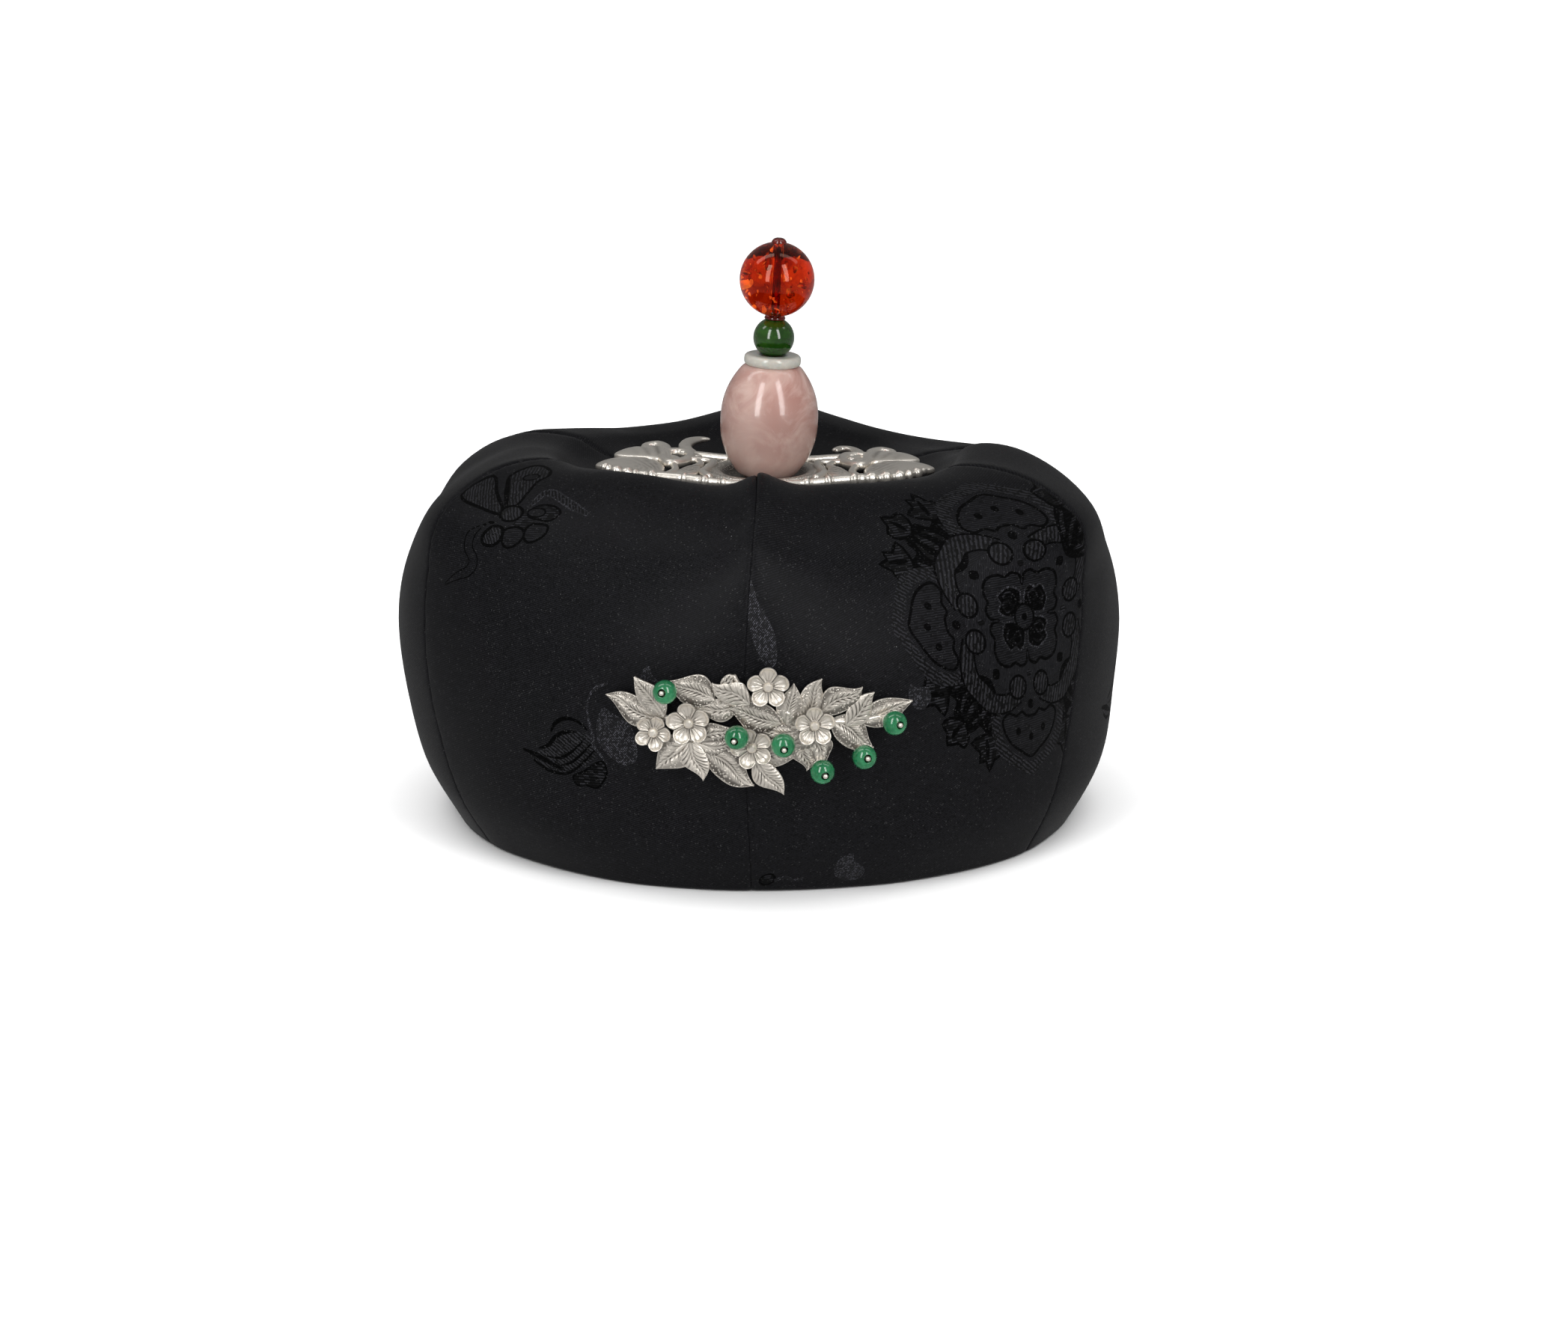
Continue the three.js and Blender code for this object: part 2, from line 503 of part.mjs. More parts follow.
function sprayGeometry() {
  const leaves = LEAVES.map(({ base, tip, width, layer }) => {
    const [run, rise] = [tip[0] - base[0], tip[1] - base[1]];
    return leafGeometry(Math.hypot(run, rise), width)
      .rotateZ(Math.atan2(rise, run))
      .translate(base[0], base[1], layer);
  });
  const stems = STEMS.map((points) => barGeometry(points, STEM_RADIUS, STEM_RADIUS, STEM_SIDES, 1));
  const posts = SPRAY_BEADS.map(postGeometry);
  const flowers = FLOWERS.flatMap(flowerGeometries);
  const geometry = geometryOf(joined([...leaves, ...stems, ...posts, ...flowers]));
  const place = geometry.attributes.position;
  for (let index = 0; index < place.count; index++) {
    const point = bent(new THREE.Vector3().fromBufferAttribute(place, index));
    place.setXYZ(index, point.x, point.y, point.z);
  }
  return geometry;
}

const coronet = new THREE.Group();
coronet.position.set(CAP_AXIS.x, CAP_AXIS.y, 0);

function addPiece(parent, name, geometry, look) {
  const piece = new THREE.Mesh(geometry, new THREE.MeshStandardMaterial(look));
  piece.name = name;
  parent.add(piece);
  return piece;
}

function addCap() {
  GORES.forEach(({ name }, gore) => addPiece(coronet, name, goreGeometry(gore), SILK));
}

// Each piece of the stack stands a gap above the one below it.
function addStack() {
  const stack = new THREE.Group();
  stack.position.set(STACK.x, 0, STACK.foot);
  stack.rotation.y = radians(STACK.lean);
  coronet.add(stack);
  // A ball sinks a little into a bore below or above it, so its middle is nearer than its radius.
  const nest = (ball, bore) => Math.sqrt((ball.radius + STACK.gap) ** 2 - bore ** 2);
  const ringFoot = BARREL.height + STACK.gap;
  const greenMiddle = ringFoot + RING.height + nest(GREEN_BEAD, RING.bore);
  const spacerFoot = greenMiddle + nest(GREEN_BEAD, SPACER_RING.bore);
  const amberMiddle = spacerFoot + SPACER_RING.height + nest(AMBER_BEAD, SPACER_RING.bore);
  const tipFoot = amberMiddle + AMBER_BEAD.radius + STACK.gap;
  const pieces = [
    ["barrel_bead", barrelGeometry(BARREL), QUARTZ, BARREL.height / 2],
    ["ring_bead", ringGeometry(RING), WHITE_JADE, ringFoot + RING.height / 2],
    ["green_bead", beadGeometry(GREEN_BEAD), GREEN_JADE, greenMiddle],
    ["spacer_bead", ringGeometry(SPACER_RING), DARK_RED, spacerFoot + SPACER_RING.height / 2],
    ["amber_bead", beadGeometry(AMBER_BEAD), AMBER, amberMiddle],
    ["tip_bead", beadGeometry(TIP_BEAD), DARK_RED, tipFoot + TIP_BEAD.height / 2],
  ];
  pieces.forEach(([name, geometry, look, height]) => {
    addPiece(stack, name, geometry, look).position.z = height;
  });
  const wireFoot = -STACK.stopperDrop - WIRE.stopperHeight;
  const wireTop = tipFoot + TIP_BEAD.height - STACK.gap;
  addPiece(stack, "stack_wire", wireGeometry(wireTop - wireFoot), STEEL).position.z = wireFoot;
}

function addPlate() {
  const plate = addPiece(coronet, "butterfly_plate", plateGeometry(), SILVER);
  plate.position.set(PLATE.x, 0, PLATE.under);
  plate.rotation.z = radians(PLATE.turn);
}

function addSpray() {
  addPiece(coronet, "flower_spray", sprayGeometry(), SILVER);
  SPRAY_BEADS.forEach((bead, index) => {
    const out = new THREE.Vector3(0, 0, 1).transformDirection(beadFrame(bead));
    const centre = new THREE.Vector3(bead.u, bead.v, SPRAY_BEAD.centre);
    const middle = bent(centre);
    const axis = bent(centre.clone().add(out)).sub(middle).normalize();
    const piece = addPiece(coronet, `spray_bead_${index + 1}`, beadGeometry(SPRAY_BEAD), GREEN_GLASS);
    piece.position.copy(middle);
    piece.quaternion.setFromUnitVectors(new THREE.Vector3(0, 0, 1), axis);
  });
}

addCap();
addStack();
addPlate();
addSpray();

export default coronet;
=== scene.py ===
"""The looks of a bridal coronet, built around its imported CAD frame.

The tables hold millimetres and degrees, as a maker would measure the object, and MM turns them
into the scene's metres. +Z is up and the wearer's front looks towards -Y.
"""
import math
from collections import namedtuple

import bpy
import numpy as np
from mathutils import Euler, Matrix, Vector
from mathutils.geometry import delaunay_2d_cdt


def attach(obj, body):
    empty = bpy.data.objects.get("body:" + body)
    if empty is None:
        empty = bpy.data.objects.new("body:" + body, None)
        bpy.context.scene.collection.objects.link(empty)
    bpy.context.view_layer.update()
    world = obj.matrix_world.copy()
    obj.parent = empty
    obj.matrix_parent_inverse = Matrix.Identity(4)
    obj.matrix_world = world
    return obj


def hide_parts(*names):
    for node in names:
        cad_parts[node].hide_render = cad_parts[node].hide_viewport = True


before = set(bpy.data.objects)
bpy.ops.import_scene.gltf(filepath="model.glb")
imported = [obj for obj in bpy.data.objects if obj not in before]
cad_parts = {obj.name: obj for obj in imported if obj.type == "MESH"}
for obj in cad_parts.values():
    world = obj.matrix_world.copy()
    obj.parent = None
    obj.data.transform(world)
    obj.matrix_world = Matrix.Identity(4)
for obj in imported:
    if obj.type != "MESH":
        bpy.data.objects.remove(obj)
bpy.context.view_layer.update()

MM = 0.001
ROOT = "root"
SEED = 7
# Where the cap's own axis stands in the row frame.
CAP_AXIS = (-0.6, 3.7)

# The photograph: its size in pixels, and the camera that its perspective asks for.
PHOTO_WIDTH = 2095
FOCAL_PIXELS = 5706
CAMERA_PLACE = (5.4, -896.3, 271)
CAMERA_PITCH = 14.89
SENSOR_WIDTH = 36

# The cap, as in the part's source.
WALL = 4
SEAM_DEPTH = 0.9
SEAM_WIDTH = 1.6
SEAM_FADE = 25
PEAK_WIDTH = 6.5
CROWN_SHIFT = 2.6
CREST_RADIUS = 50
Level = namedtuple("Level", "at seam_r seam_z mid_r mid_z foot bulge corner lift")
SECTION = [
    Level("rim", 66, 0, 65.6, 0, 1, 0, 0, 0),
    Level("lower side", 73, 12.5, 72.8, 12.5, 0.7, 0.4, 0, 0),
    Level("waist", 76.8, 28, 76.4, 28, 0.15, 0.9, 0, 0),
    Level("widest", 78.6, 44, 78, 43.5, 0, 1, 0, 0),
    Level("upper side", 77, 58.5, 75, 57.5, 0, 1, 0.25, 0.2),
    Level("shoulder", 69.6, 71.5, 66.8, 70, 0, 0.5, 1, 0.6),
    Level("outer crest", 58, 79.6, 55, 78.2, 0, 0, 0.8, 1),
    Level("inner crest", 47, 80.4, 45.6, 79, 0, 0, 0.2, 1),
    Level("dish edge", 38.6, 74, 38.4, 73.4, 0, 0, 0, 0.2),
    Level("dish", 22, 70.4, 22, 70.2, 0, 0, 0, 0),
    Level("middle", 2.4, 67.6, 2.4, 67.6, 0, 0, 0, 0),
]
Seam = namedtuple("Seam", "at azimuth foot_sway top_sway foot corner lift peak valley")
SEAMS = [
    Seam("front", -1.4, 0.8, 1.9, 0, 3, 0.6, 3.5, 0.15),
    Seam("front right", 59, -3.6, 0, 3, 9, 0, 0.6, 0.1),
    Seam("back right", 121, 0, 0, 3, 5, -7.4, 0.6, 0.3),
    Seam("back", 176.2, 0, 0, 0, 3, -3.8, 3, 0.4),
    Seam("back left", 239, 0, 0, -0.4, 4, -4.2, 0.6, 0.3),
    Seam("front left", 299, 2, 0, -0.4, 5.6, 0.6, 0.6, 0.1),
]
Gore = namedtuple("Gore", "name foot bulge corner lift")
GORES = [
    Gore("front_right", 0, 0, -5.4, 0.5),
    Gore("side_right", 0.6, 0.6, -5, 4.4),
    Gore("back_right", 0, 0, -3.4, 0.4),
    Gore("back_left", 0, 0, -3, -0.6),
    Gore("side_left", 0, -0.6, -4.9, 1.6),
    Gore("front_left", 0, 0, -4, 2.2),
]
Dent = namedtuple("Dent", "gore across level width reach depth")
DENTS = [
    Dent("front_left", 0.88, 6.7, 7, 1.1, 1.6),
    Dent("front_left", 0.66, 6.2, 5, 0.8, 0.6),
    Dent("front_right", 0.16, 6.4, 6, 1.1, 0.7),
    Dent("side_left", 0.3, 6, 9, 0.9, 0.8),
    Dent("side_right", 0.62, 6, 9, 0.9, 0.8),
]
# The last number of a seam is how much of the CAD's valley its silk shows. Beyond that
# the silk only rolls over a fine edge into the stitches.
ROLL_DEPTH = 0.45
ROLL_WIDTH = 0.26
# A seam without a valley still rolls by this share of the depth.
ROLL_LEAST = 0.3
# Over the crown's crest the silk rolls deeper into the seam, and its peaks are round.
CROWN_ROLL_LEVEL = 6.6
CROWN_ROLL_DEPTH = 0.5
CROWN_ROLL_WIDTH = 0.4
PEAK_ROUND = 1.8
# About how far apart two levels are along the section.
LEVEL_LENGTH = 14.5
# Each stitch pulls a small dimple, and every few stitches a longer pucker.
STITCH_PITCH = 2.6
STITCH_DEPTH = 0.05
STITCH_REACH = 1.2
PUCKER_PITCH = 11
PUCKER_DEPTH = 0.03
PUCKER_REACH = 4.5
SEAM_CLEARANCE = 0.015
# The padding's own unevenness: turns round the cap, waves from rim to crown, phase and depth.
SWELLS = [(5, 1.3, 0.7, 0.13), (9, -2.1, 2, 0.09), (14, 3.1, 4.4, 0.05), (23, -1.7, 1.2, 0.03)]
# The silk turns under the rim along this much cloth, and the lining starts there.
HEM_TOP = 0.94
HEM_END = -3.6
HEM_ROW = 0.35
# How fast the flat hem rises towards the lining.
HEM_RISE = 0.16
SECTION_SAMPLES = 401
CLOTH_ROW = 1.8
CLOTH_COLUMN = 2.2
EDGE_COLUMNS = (0, 0.22, 0.55, 1, 1.7, 2.7, 4)
NARROW = 9


def column(table, key, place):
    """Catmull-Rom through one column of a table, at places counted in rows."""
    values = np.array([getattr(row, key) for row in table], float)
    last = len(values) - 1
    row = np.minimum(np.floor(place).astype(int), last - 1)
    t = place - row
    before, start = values[np.maximum(row - 1, 0)], values[row]
    end, after = values[row + 1], values[np.minimum(row + 2, last)]
    leave, arrive = (end - before) / 2, (after - start) / 2
    cubic = 2 * start - 2 * end + leave + arrive
    square = 3 * end - 3 * start - 2 * leave - arrive
    return ((cubic * t + square) * t + leave) * t + start


def cap_section(gore, level, across):
    """Radius, height, first azimuth and turn of a gore's outer face, before valleys and dents."""
    left, right, own_row = SEAMS[gore], SEAMS[(gore + 1) % len(SEAMS)], GORES[gore]
    span = math.radians((right.azimuth - left.azimuth) % 360)
    arch = np.sin(np.pi * across)
    ease = (1 - np.cos(np.pi * across)) / 2

    def between(low, high):
        start = column(SECTION, low, level)
        return start + (column(SECTION, high, level) - start) * arch

    def own(key):
        start, end = getattr(left, key), getattr(right, key)
        return column(SECTION, key, level) * (start + (end - start) * ease + getattr(own_row, key) * arch**2)

    bulge = column(SECTION, "bulge", level) * own_row.bulge * arch**2
    radius = between("seam_r", "mid_r") + own("foot") + own("corner") + bulge
    peaks = 0
    for seam, aside in ((left, radius * span * across), (right, radius * span * (1 - across))):
        peaks = peaks + seam.peak * np.exp((PEAK_ROUND - np.hypot(aside, PEAK_ROUND)) / PEAK_WIDTH)
    lift = column(SECTION, "lift", level)
    height = between("seam_z", "mid_z") + own("lift") + lift * peaks
    foot = column(SECTION, "foot", level)
    start = np.radians(left.azimuth + left.foot_sway * foot + left.top_sway * lift)
    end = np.radians(right.foot_sway * foot + right.top_sway * lift) + span + math.radians(left.azimuth)
    return radius, height, start, end - start


def section_direction(gore, level, across):
    """The way up the section, as its parts in radius and height."""
    step = 0.02
    low = cap_section(gore, np.maximum(level - step, 0), across)
    high = cap_section(gore, np.minimum(level + step, len(SECTION) - 1), across)
    run, rise = high[0] - low[0], high[1] - low[1]
    length = np.hypot(run, rise)
    return run / length, rise / length


def row_point(radius, height, azimuth):
    """A point of the cap in the row frame, in millimetres."""
    shift = CROWN_SHIFT * np.maximum(0, 1 - radius / CREST_RADIUS)
    x = CAP_AXIS[0] + radius * np.sin(azimuth) + shift
    y = CAP_AXIS[1] - radius * np.cos(azimuth)
    return np.stack([x, y, height], -1)


def sink_of(gore, level, across, radius, width):
    """How deep the valleys, stitches, puckers and dents sink the silk."""
    aside = width * np.minimum(across, 1 - across)
    fade = np.minimum(1, radius / SEAM_FADE)
    along = level * LEVEL_LENGTH
    stitches = STITCH_DEPTH * (1 + np.sin(2 * np.pi * along / STITCH_PITCH)) * np.exp(-aside / STITCH_REACH)
    puckers = PUCKER_DEPTH * np.sin(2 * np.pi * along / PUCKER_PITCH + gore) * np.exp(-aside / PUCKER_REACH)
    left, right = SEAMS[gore], SEAMS[(gore + 1) % len(SEAMS)]
    share = np.where(across < 0.5, left.valley, right.valley)
    crown = np.exp(-((level - CROWN_ROLL_LEVEL) ** 2))
    depth = ROLL_DEPTH * (ROLL_LEAST + share) + CROWN_ROLL_DEPTH * crown
    roll = depth * np.exp(-aside / (ROLL_WIDTH + CROWN_ROLL_WIDTH * crown))
    valley = share * SEAM_DEPTH * np.exp(-aside / SEAM_WIDTH) + roll
    sink = (valley + stitches + puckers) * fade
    for dent in DENTS:
        if dent.gore == GORES[gore].name:
            beside = (across - dent.across) * width / dent.width
            above = (level - dent.level) / dent.reach
            sink = sink + dent.depth * np.exp(-(beside**2) - above**2)
    return sink


class Cloth:
    """One gore as flat cloth: x across from its middle line and y up from the rim, in millimetres."""

    def __init__(self, gore):
        self.gore = gore
        self.levels = np.linspace(0, len(SECTION) - 1, SECTION_SAMPLES)
        radius, height, _, turn = cap_section(gore, self.levels, np.full(SECTION_SAMPLES, 0.5))
        steps = np.hypot(np.diff(radius), np.diff(height))
        self.lengths = np.concatenate([[0], np.cumsum(steps)])
        self.widths = radius * turn
        self.top = self.lengths[-1]

    def half_width(self, y):
        level = np.interp(np.maximum(y, HEM_TOP), self.lengths, self.levels)
        return np.interp(level, self.levels, self.widths) / 2

    def point(self, x, y):
        """Where cloth (x, y) is on the finished cap, in the row frame, in millimetres."""
        gore = self.gore
        level = np.interp(np.maximum(y, HEM_TOP), self.lengths, self.levels)
        across = np.clip(0.5 + x / (2 * self.half_width(y)), 0, 1)
        radius, height, start, turn = cap_section(gore, level, across)
        run, rise = section_direction(gore, level, across)
        azimuth = start + turn * across
        sink = sink_of(gore, level, across, radius, radius * turn)
        for turns, waves, phase, depth in SWELLS:
            sink = sink + depth * np.sin(turns * azimuth + waves * level + phase)
        radius = radius - rise * sink
        height = height + run * sink
        # Below the hem's top the silk rolls under the rim, then runs flat to the lining.
        under = np.maximum(HEM_TOP - y, 0)
        roll = height / np.maximum(1 - run, 0.3)
        roll = np.where(y < HEM_TOP, roll, 1)
        angle = np.minimum(under / roll, np.arccos(np.clip(run, -1, 1)))
        flat = np.maximum(under - roll * angle, 0)
        radius = radius + roll * (rise * (np.cos(angle) - 1) - run * np.sin(angle)) - flat
        height = height + roll * (run * (1 - np.cos(angle)) - rise * np.sin(angle)) + HEM_RISE * flat**2
        inset = SEAM_CLEARANCE / radius
        azimuth = start + inset + (turn - 2 * inset) * across
        return row_point(radius, height, azimuth)

    def lining_point(self, level, across):
        """A point of the lining at the wall's depth, in the row frame, in millimetres."""
        radius, height, start, turn = cap_section(self.gore, level, across)
        run, rise = section_direction(self.gore, level, across)
        aside = radius * turn * np.minimum(across, 1 - across)
        sink = WALL - SEAM_DEPTH * np.exp(-aside / SEAM_WIDTH)
        return row_point(radius - rise * sink, height + run * sink, start + turn * across)

    def normals(self, x, y):
        """Outward unit normals of the silk at cloth (x, y)."""
        step = 0.04
        across = self.point(x + step, y) - self.point(x - step, y)
        along = self.point(x, y + step) - self.point(x, y - step)
        normal = np.cross(across, along)
        return normal / np.linalg.norm(normal, axis=1)[:, None]


# Small tools for node materials

def new_material(name, **sockets):
    """A material with a Principled shader, its constants set on the shader's own sockets."""
    material = bpy.data.materials.new(name)
    material.use_nodes = True
    shader = material.node_tree.nodes["Principled BSDF"]
    for socket, value in sockets.items():
        shader.inputs[socket.replace("_", " ")].default_value = value
    return material, Nodes(material.node_tree, shader)


class Nodes:
    """Adds nodes to one material's tree. A socket argument is a constant or another node's output."""

    def __init__(self, tree, shader):
        self.tree = tree
        self.shader = shader

    def add(self, kind, output=0, settings=None, **inputs):
        node = self.tree.nodes.new(kind)
        for key, value in (settings or {}).items():
            setattr(node, key, value)
        for key, value in inputs.items():
            socket = node.inputs[int(key[1:])] if key[1:].isdigit() else node.inputs[key.replace("_", " ")]
            self.feed(socket, value)
        return node.outputs[output]

    def feed(self, socket, value):
        if isinstance(value, bpy.types.NodeSocket):
            self.tree.links.new(value, socket)
        else:
            socket.default_value = value

    def math(self, operation, a, b=0.0):
        return self.add("ShaderNodeMath", settings={"operation": operation}, i0=a, i1=b)

    def mapped(self, value, low, high, to_low=0.0, to_high=1.0):
        return self.add(
            "ShaderNodeMapRange", Value=value, From_Min=low, From_Max=high, To_Min=to_low, To_Max=to_high
        )

    def blend(self, factor, low, high):
        """A colour between two colours."""
        settings = {"data_type": "RGBA"}
        return self.add("ShaderNodeMix", output=2, settings=settings, i0=factor, i6=low, i7=high)

    def attribute(self, name, output=1):
        """A mesh attribute as a vector, or with output 2 as a number."""
        return self.add("ShaderNodeAttribute", output=output, settings={"attribute_name": name})

    def object_place(self):
        return self.add("ShaderNodeTexCoord", output=3)

    def scaled(self, vector, scale):
        settings = {"operation": "MULTIPLY"}
        return self.add("ShaderNodeVectorMath", settings=settings, i0=vector, i1=scale)

    def noise(self, vector, scale, detail=2.0, roughness=0.5, distortion=0.0):
        return self.add(
            "ShaderNodeTexNoise", Vector=vector, Scale=scale, Detail=detail, Roughness=roughness,
            Distortion=distortion,
        )

    def cells(self, vector, scale):
        """How far each place is from the nearest of many scattered points, in cells."""
        return self.add("ShaderNodeTexVoronoi", Vector=vector, Scale=scale)

    def part(self, vector, axis):
        return self.add("ShaderNodeSeparateXYZ", output=axis, Vector=vector)

    def grid_noise(self, vector, cell):
        """A random value from 0 to 1 for each cell of a grid."""
        snapped = self.add("ShaderNodeVectorMath", settings={"operation": "SNAP"}, i0=vector, i1=cell)
        return self.add("ShaderNodeTexWhiteNoise", Vector=snapped)

    def stripes(self, vector, heading, pitch):
        """A wave from 0 to 1 across parallel stripes that run along the heading, in the vector's unit."""
        angle = math.radians(heading + 90)
        turn = 2 * math.pi / pitch
        across = (turn * math.cos(angle), turn * math.sin(angle), 0)
        settings = {"operation": "DOT_PRODUCT"}
        phase = self.add("ShaderNodeVectorMath", output=1, settings=settings, i0=vector, i1=across)
        wave = self.math("SINE", phase)
        return self.mapped(wave, -1, 1)

    def bump(self, height, distance, normal=None):
        inputs = {"Height": height, "Distance": distance, "Strength": 1.0}
        if normal is not None:
            inputs["Normal"] = normal
        return self.add("ShaderNodeBump", **inputs)

    def set(self, **sockets):
        for key, value in sockets.items():
            self.feed(self.shader.inputs[key.replace("_", " ")], value)


def grey(value):
    return (value, value, value, 1)


def black(value):
    """A near-black of the silk, a little blue."""
    return (value, value, value * 1.18, 1)


# Materials of the cloth

Weave = namedtuple("Weave", "name heading pitch float_wide float_high gaps dark light rough relief specular")
# How each weave's ribs run on the cloth, the size of one float of thread, the share of floats that
# are sunk, how dark and how bright it is, and how rough and how high. Its dark tone is partly painted
# shade on the sunk threads, and its bright tone partly a painted highlight on the raised floats.
WEAVES = [
    Weave("ground", 24, 0.42, 0.26, 0.2, 0.3, 0.003, 0.0095, 0.43, 0.012, 0.07),
    Weave("satin", 86, 0.4, 0.2, 0.7, 0.25, 0.004, 0.0108, 0.43, 0.012, 0.07),
    Weave("floor", 2, 0.5, 0.8, 0.25, 0.2, 0.0022, 0.0108, 0.46, 0.015, 0.07),
    Weave("ribs", 84, 0.9, 0.45, 0.6, 0.25, 0.0002, 0.017, 0.52, 0.06, 0.1),
    Weave("twill", -36, 0.74, 0.45, 0.35, 0.25, 0.0004, 0.017, 0.52, 0.06, 0.11),
    Weave("twill_steep", -62, 0.64, 0.4, 0.5, 0.2, 0.0003, 0.017, 0.52, 0.06, 0.11),
    Weave("dashes", 4, 0.62, 1.2, 0.62, 0.6, 0.0001, 0.018, 0.55, 0.06, 0.08),
    Weave("solid", 4, 0.5, 0.5, 0.4, 0.75, 0.0001, 0.0034, 0.62, 0.02, 0.04),
    Weave("loose", 50, 0.3, 0.3, 0.26, 0.72, 0.0026, 0.07, 0.5, 0.07, 0.12),
]
WEAVE_INDEX = {weave.name: index for index, weave in enumerate(WEAVES)}
# Dust on the silk: one speck in a cell of this many millimetres, and the speck's radius.
DUST_PITCH = 6
DUST_RADIUS = 0.12
# Painted glints, single threads painted pale as if they caught the light: their size and the share of them.
GLINT = 0.22
GLINT_SHARE = 0.975


def silk_material(weave):
    material, nodes = new_material(
        f"silk_{weave.name}", Specular_IOR_Level=weave.specular, Sheen_Weight=0.01, Sheen_Roughness=0.45,
        Anisotropic=0.3,
    )
    cloth = nodes.attribute("cloth")
    wobble = nodes.noise(cloth, 0.35, 2)
    drift = nodes.scaled(nodes.noise(cloth, 0.9, 1), (0.5, 0.3, 0))
    sway = nodes.add("ShaderNodeVectorMath", i0=cloth, i1=drift)
    ribs = nodes.mapped(nodes.stripes(sway, weave.heading, weave.pitch), 0.3, 0.7)
    floats = nodes.grid_noise(cloth, (weave.float_wide, weave.float_high, 1))
    raised = nodes.mapped(floats, weave.gaps - 0.1, weave.gaps + 0.1, 0.12, 1)
    mixed = nodes.math("MULTIPLY", nodes.mapped(ribs, 0, 1, 0.08, 1), raised)
    toned = nodes.math("MULTIPLY", mixed, nodes.mapped(wobble, 0.2, 0.8, 0.7, 1.15))
    # The silk's own weave pattern, with painted highlights on the raised floats and painted shade on the sunk
    # threads.
    weave_tone_and_painted_light = nodes.blend(toned, black(weave.dark), black(weave.light))
    # Painted glints: a few single threads are painted pale in the base colour, standing in for threads that
    # catch the light.
    painted_glints = nodes.mapped(nodes.grid_noise(cloth, (GLINT, GLINT, 1)), GLINT_SHARE, 1, 0, 0.12)
    speck = DUST_RADIUS / DUST_PITCH
    dust = nodes.mapped(nodes.cells(cloth, 1 / DUST_PITCH), 0.5 * speck, speck, 0.7, 0)
    nodes.set(
        Base_Color=nodes.blend(nodes.math("MAXIMUM", dust, painted_glints), weave_tone_and_painted_light, grey(0.22)),
        Roughness=nodes.mapped(floats, 0, 1, weave.rough - 0.05, weave.rough + 0.05),
        Normal=nodes.bump(mixed, weave.relief * MM),
        Tangent=nodes.add("ShaderNodeTangent", settings={"direction_type": "RADIAL", "axis": "Z"}),
    )
    return material


def lining_material():
    material, nodes = new_material("lining", Specular_IOR_Level=0.25, Sheen_Weight=0.1)
    place = nodes.object_place()
    weave = nodes.math("MULTIPLY", nodes.stripes(place, 45, 0.5 * MM), nodes.stripes(place, -45, 0.5 * MM))
    nodes.set(
        Base_Color=nodes.blend(weave, black(0.006), black(0.018)),
        Roughness=nodes.mapped(weave, 0, 1, 0.7, 0.85),
        Normal=nodes.bump(weave, 0.04 * MM),
    )
    return material


def mesh_object(name, points, faces, smooth=True):
    """A mesh object from points in the row frame, in millimetres."""
    mesh = bpy.data.meshes.new(name)
    mesh.from_pydata((np.asarray(points, float) * MM).tolist(), [], [list(face) for face in faces])
    mesh.validate()
    mesh.polygons.foreach_set("use_smooth", [smooth] * len(mesh.polygons))
    mesh.update()
    piece = bpy.data.objects.new(name, mesh)
    bpy.context.scene.collection.objects.link(piece)
    return piece


def grid_faces(rows, columns, start=0, closed=False):
    """Quads of a grid of points, row after row, each row closed on itself or not."""
    faces = []
    for row in range(rows - 1):
        for col in range(columns if closed else columns - 1):
            after = (col + 1) % columns
            low, high = start + row * columns, start + (row + 1) * columns
            faces.append((low + col, low + after, high + after, high + col))
    return faces


# The damask's figures, drawn on the flat cloth

def smooth_line(points, closed=False, steps=5):
    """Catmull-Rom through a few points."""
    points = [np.array(point, float) for point in points]
    count = len(points)
    line = []
    for index in range(count if closed else count - 1):
        if closed:
            before, start, end, after = [points[(index + step) % count] for step in (-1, 0, 1, 2)]
        else:
            start, end = points[index], points[index + 1]
            before, after = points[max(index - 1, 0)], points[min(index + 2, count - 1)]
        leave, arrive = (end - before) / 2, (after - start) / 2
        for step in range(steps):
            t = step / steps
            cubic = 2 * start - 2 * end + leave + arrive
            square = 3 * end - 3 * start - 2 * leave - arrive
            line.append(((cubic * t + square) * t + leave) * t + start)
    if not closed:
        line.append(points[-1])
    return np.array(line)


def line_normals(line, closed):
    if closed:
        ahead = np.roll(line, -1, axis=0) - np.roll(line, 1, axis=0)
    else:
        ahead = np.gradient(line, axis=0)
    length = np.maximum(np.linalg.norm(ahead, axis=1), 1e-9)[:, None]
    return np.stack([ahead[:, 1], -ahead[:, 0]], -1) / length


def area_of(line):
    x, y = line[:, 0], line[:, 1]
    return float(np.sum(x * np.roll(y, -1) - np.roll(x, -1) * y)) / 2


def filled(weave, points, steps=4):
    return [(weave, smooth_line(points, closed=True, steps=steps))]


def bordered(weave, points, width=0.5, border="solid", steps=4):
    """A closed figure with a border half outside and half inside its line."""
    line = smooth_line(points, closed=True, steps=steps)
    out = line_normals(line, True) * math.copysign(width / 2, area_of(line))
    return [(border, line + out), (weave, line - out)]


def oval(weave, x, y, wide, high, heading=0, sides=18):
    angle = np.linspace(0, 2 * np.pi, sides, endpoint=False)
    turn = math.radians(heading)
    along, aside = wide * np.cos(angle), high * np.sin(angle)
    across = x + along * math.cos(turn) - aside * math.sin(turn)
    up = y + along * math.sin(turn) + aside * math.cos(turn)
    return [(weave, np.stack([across, up], -1))]


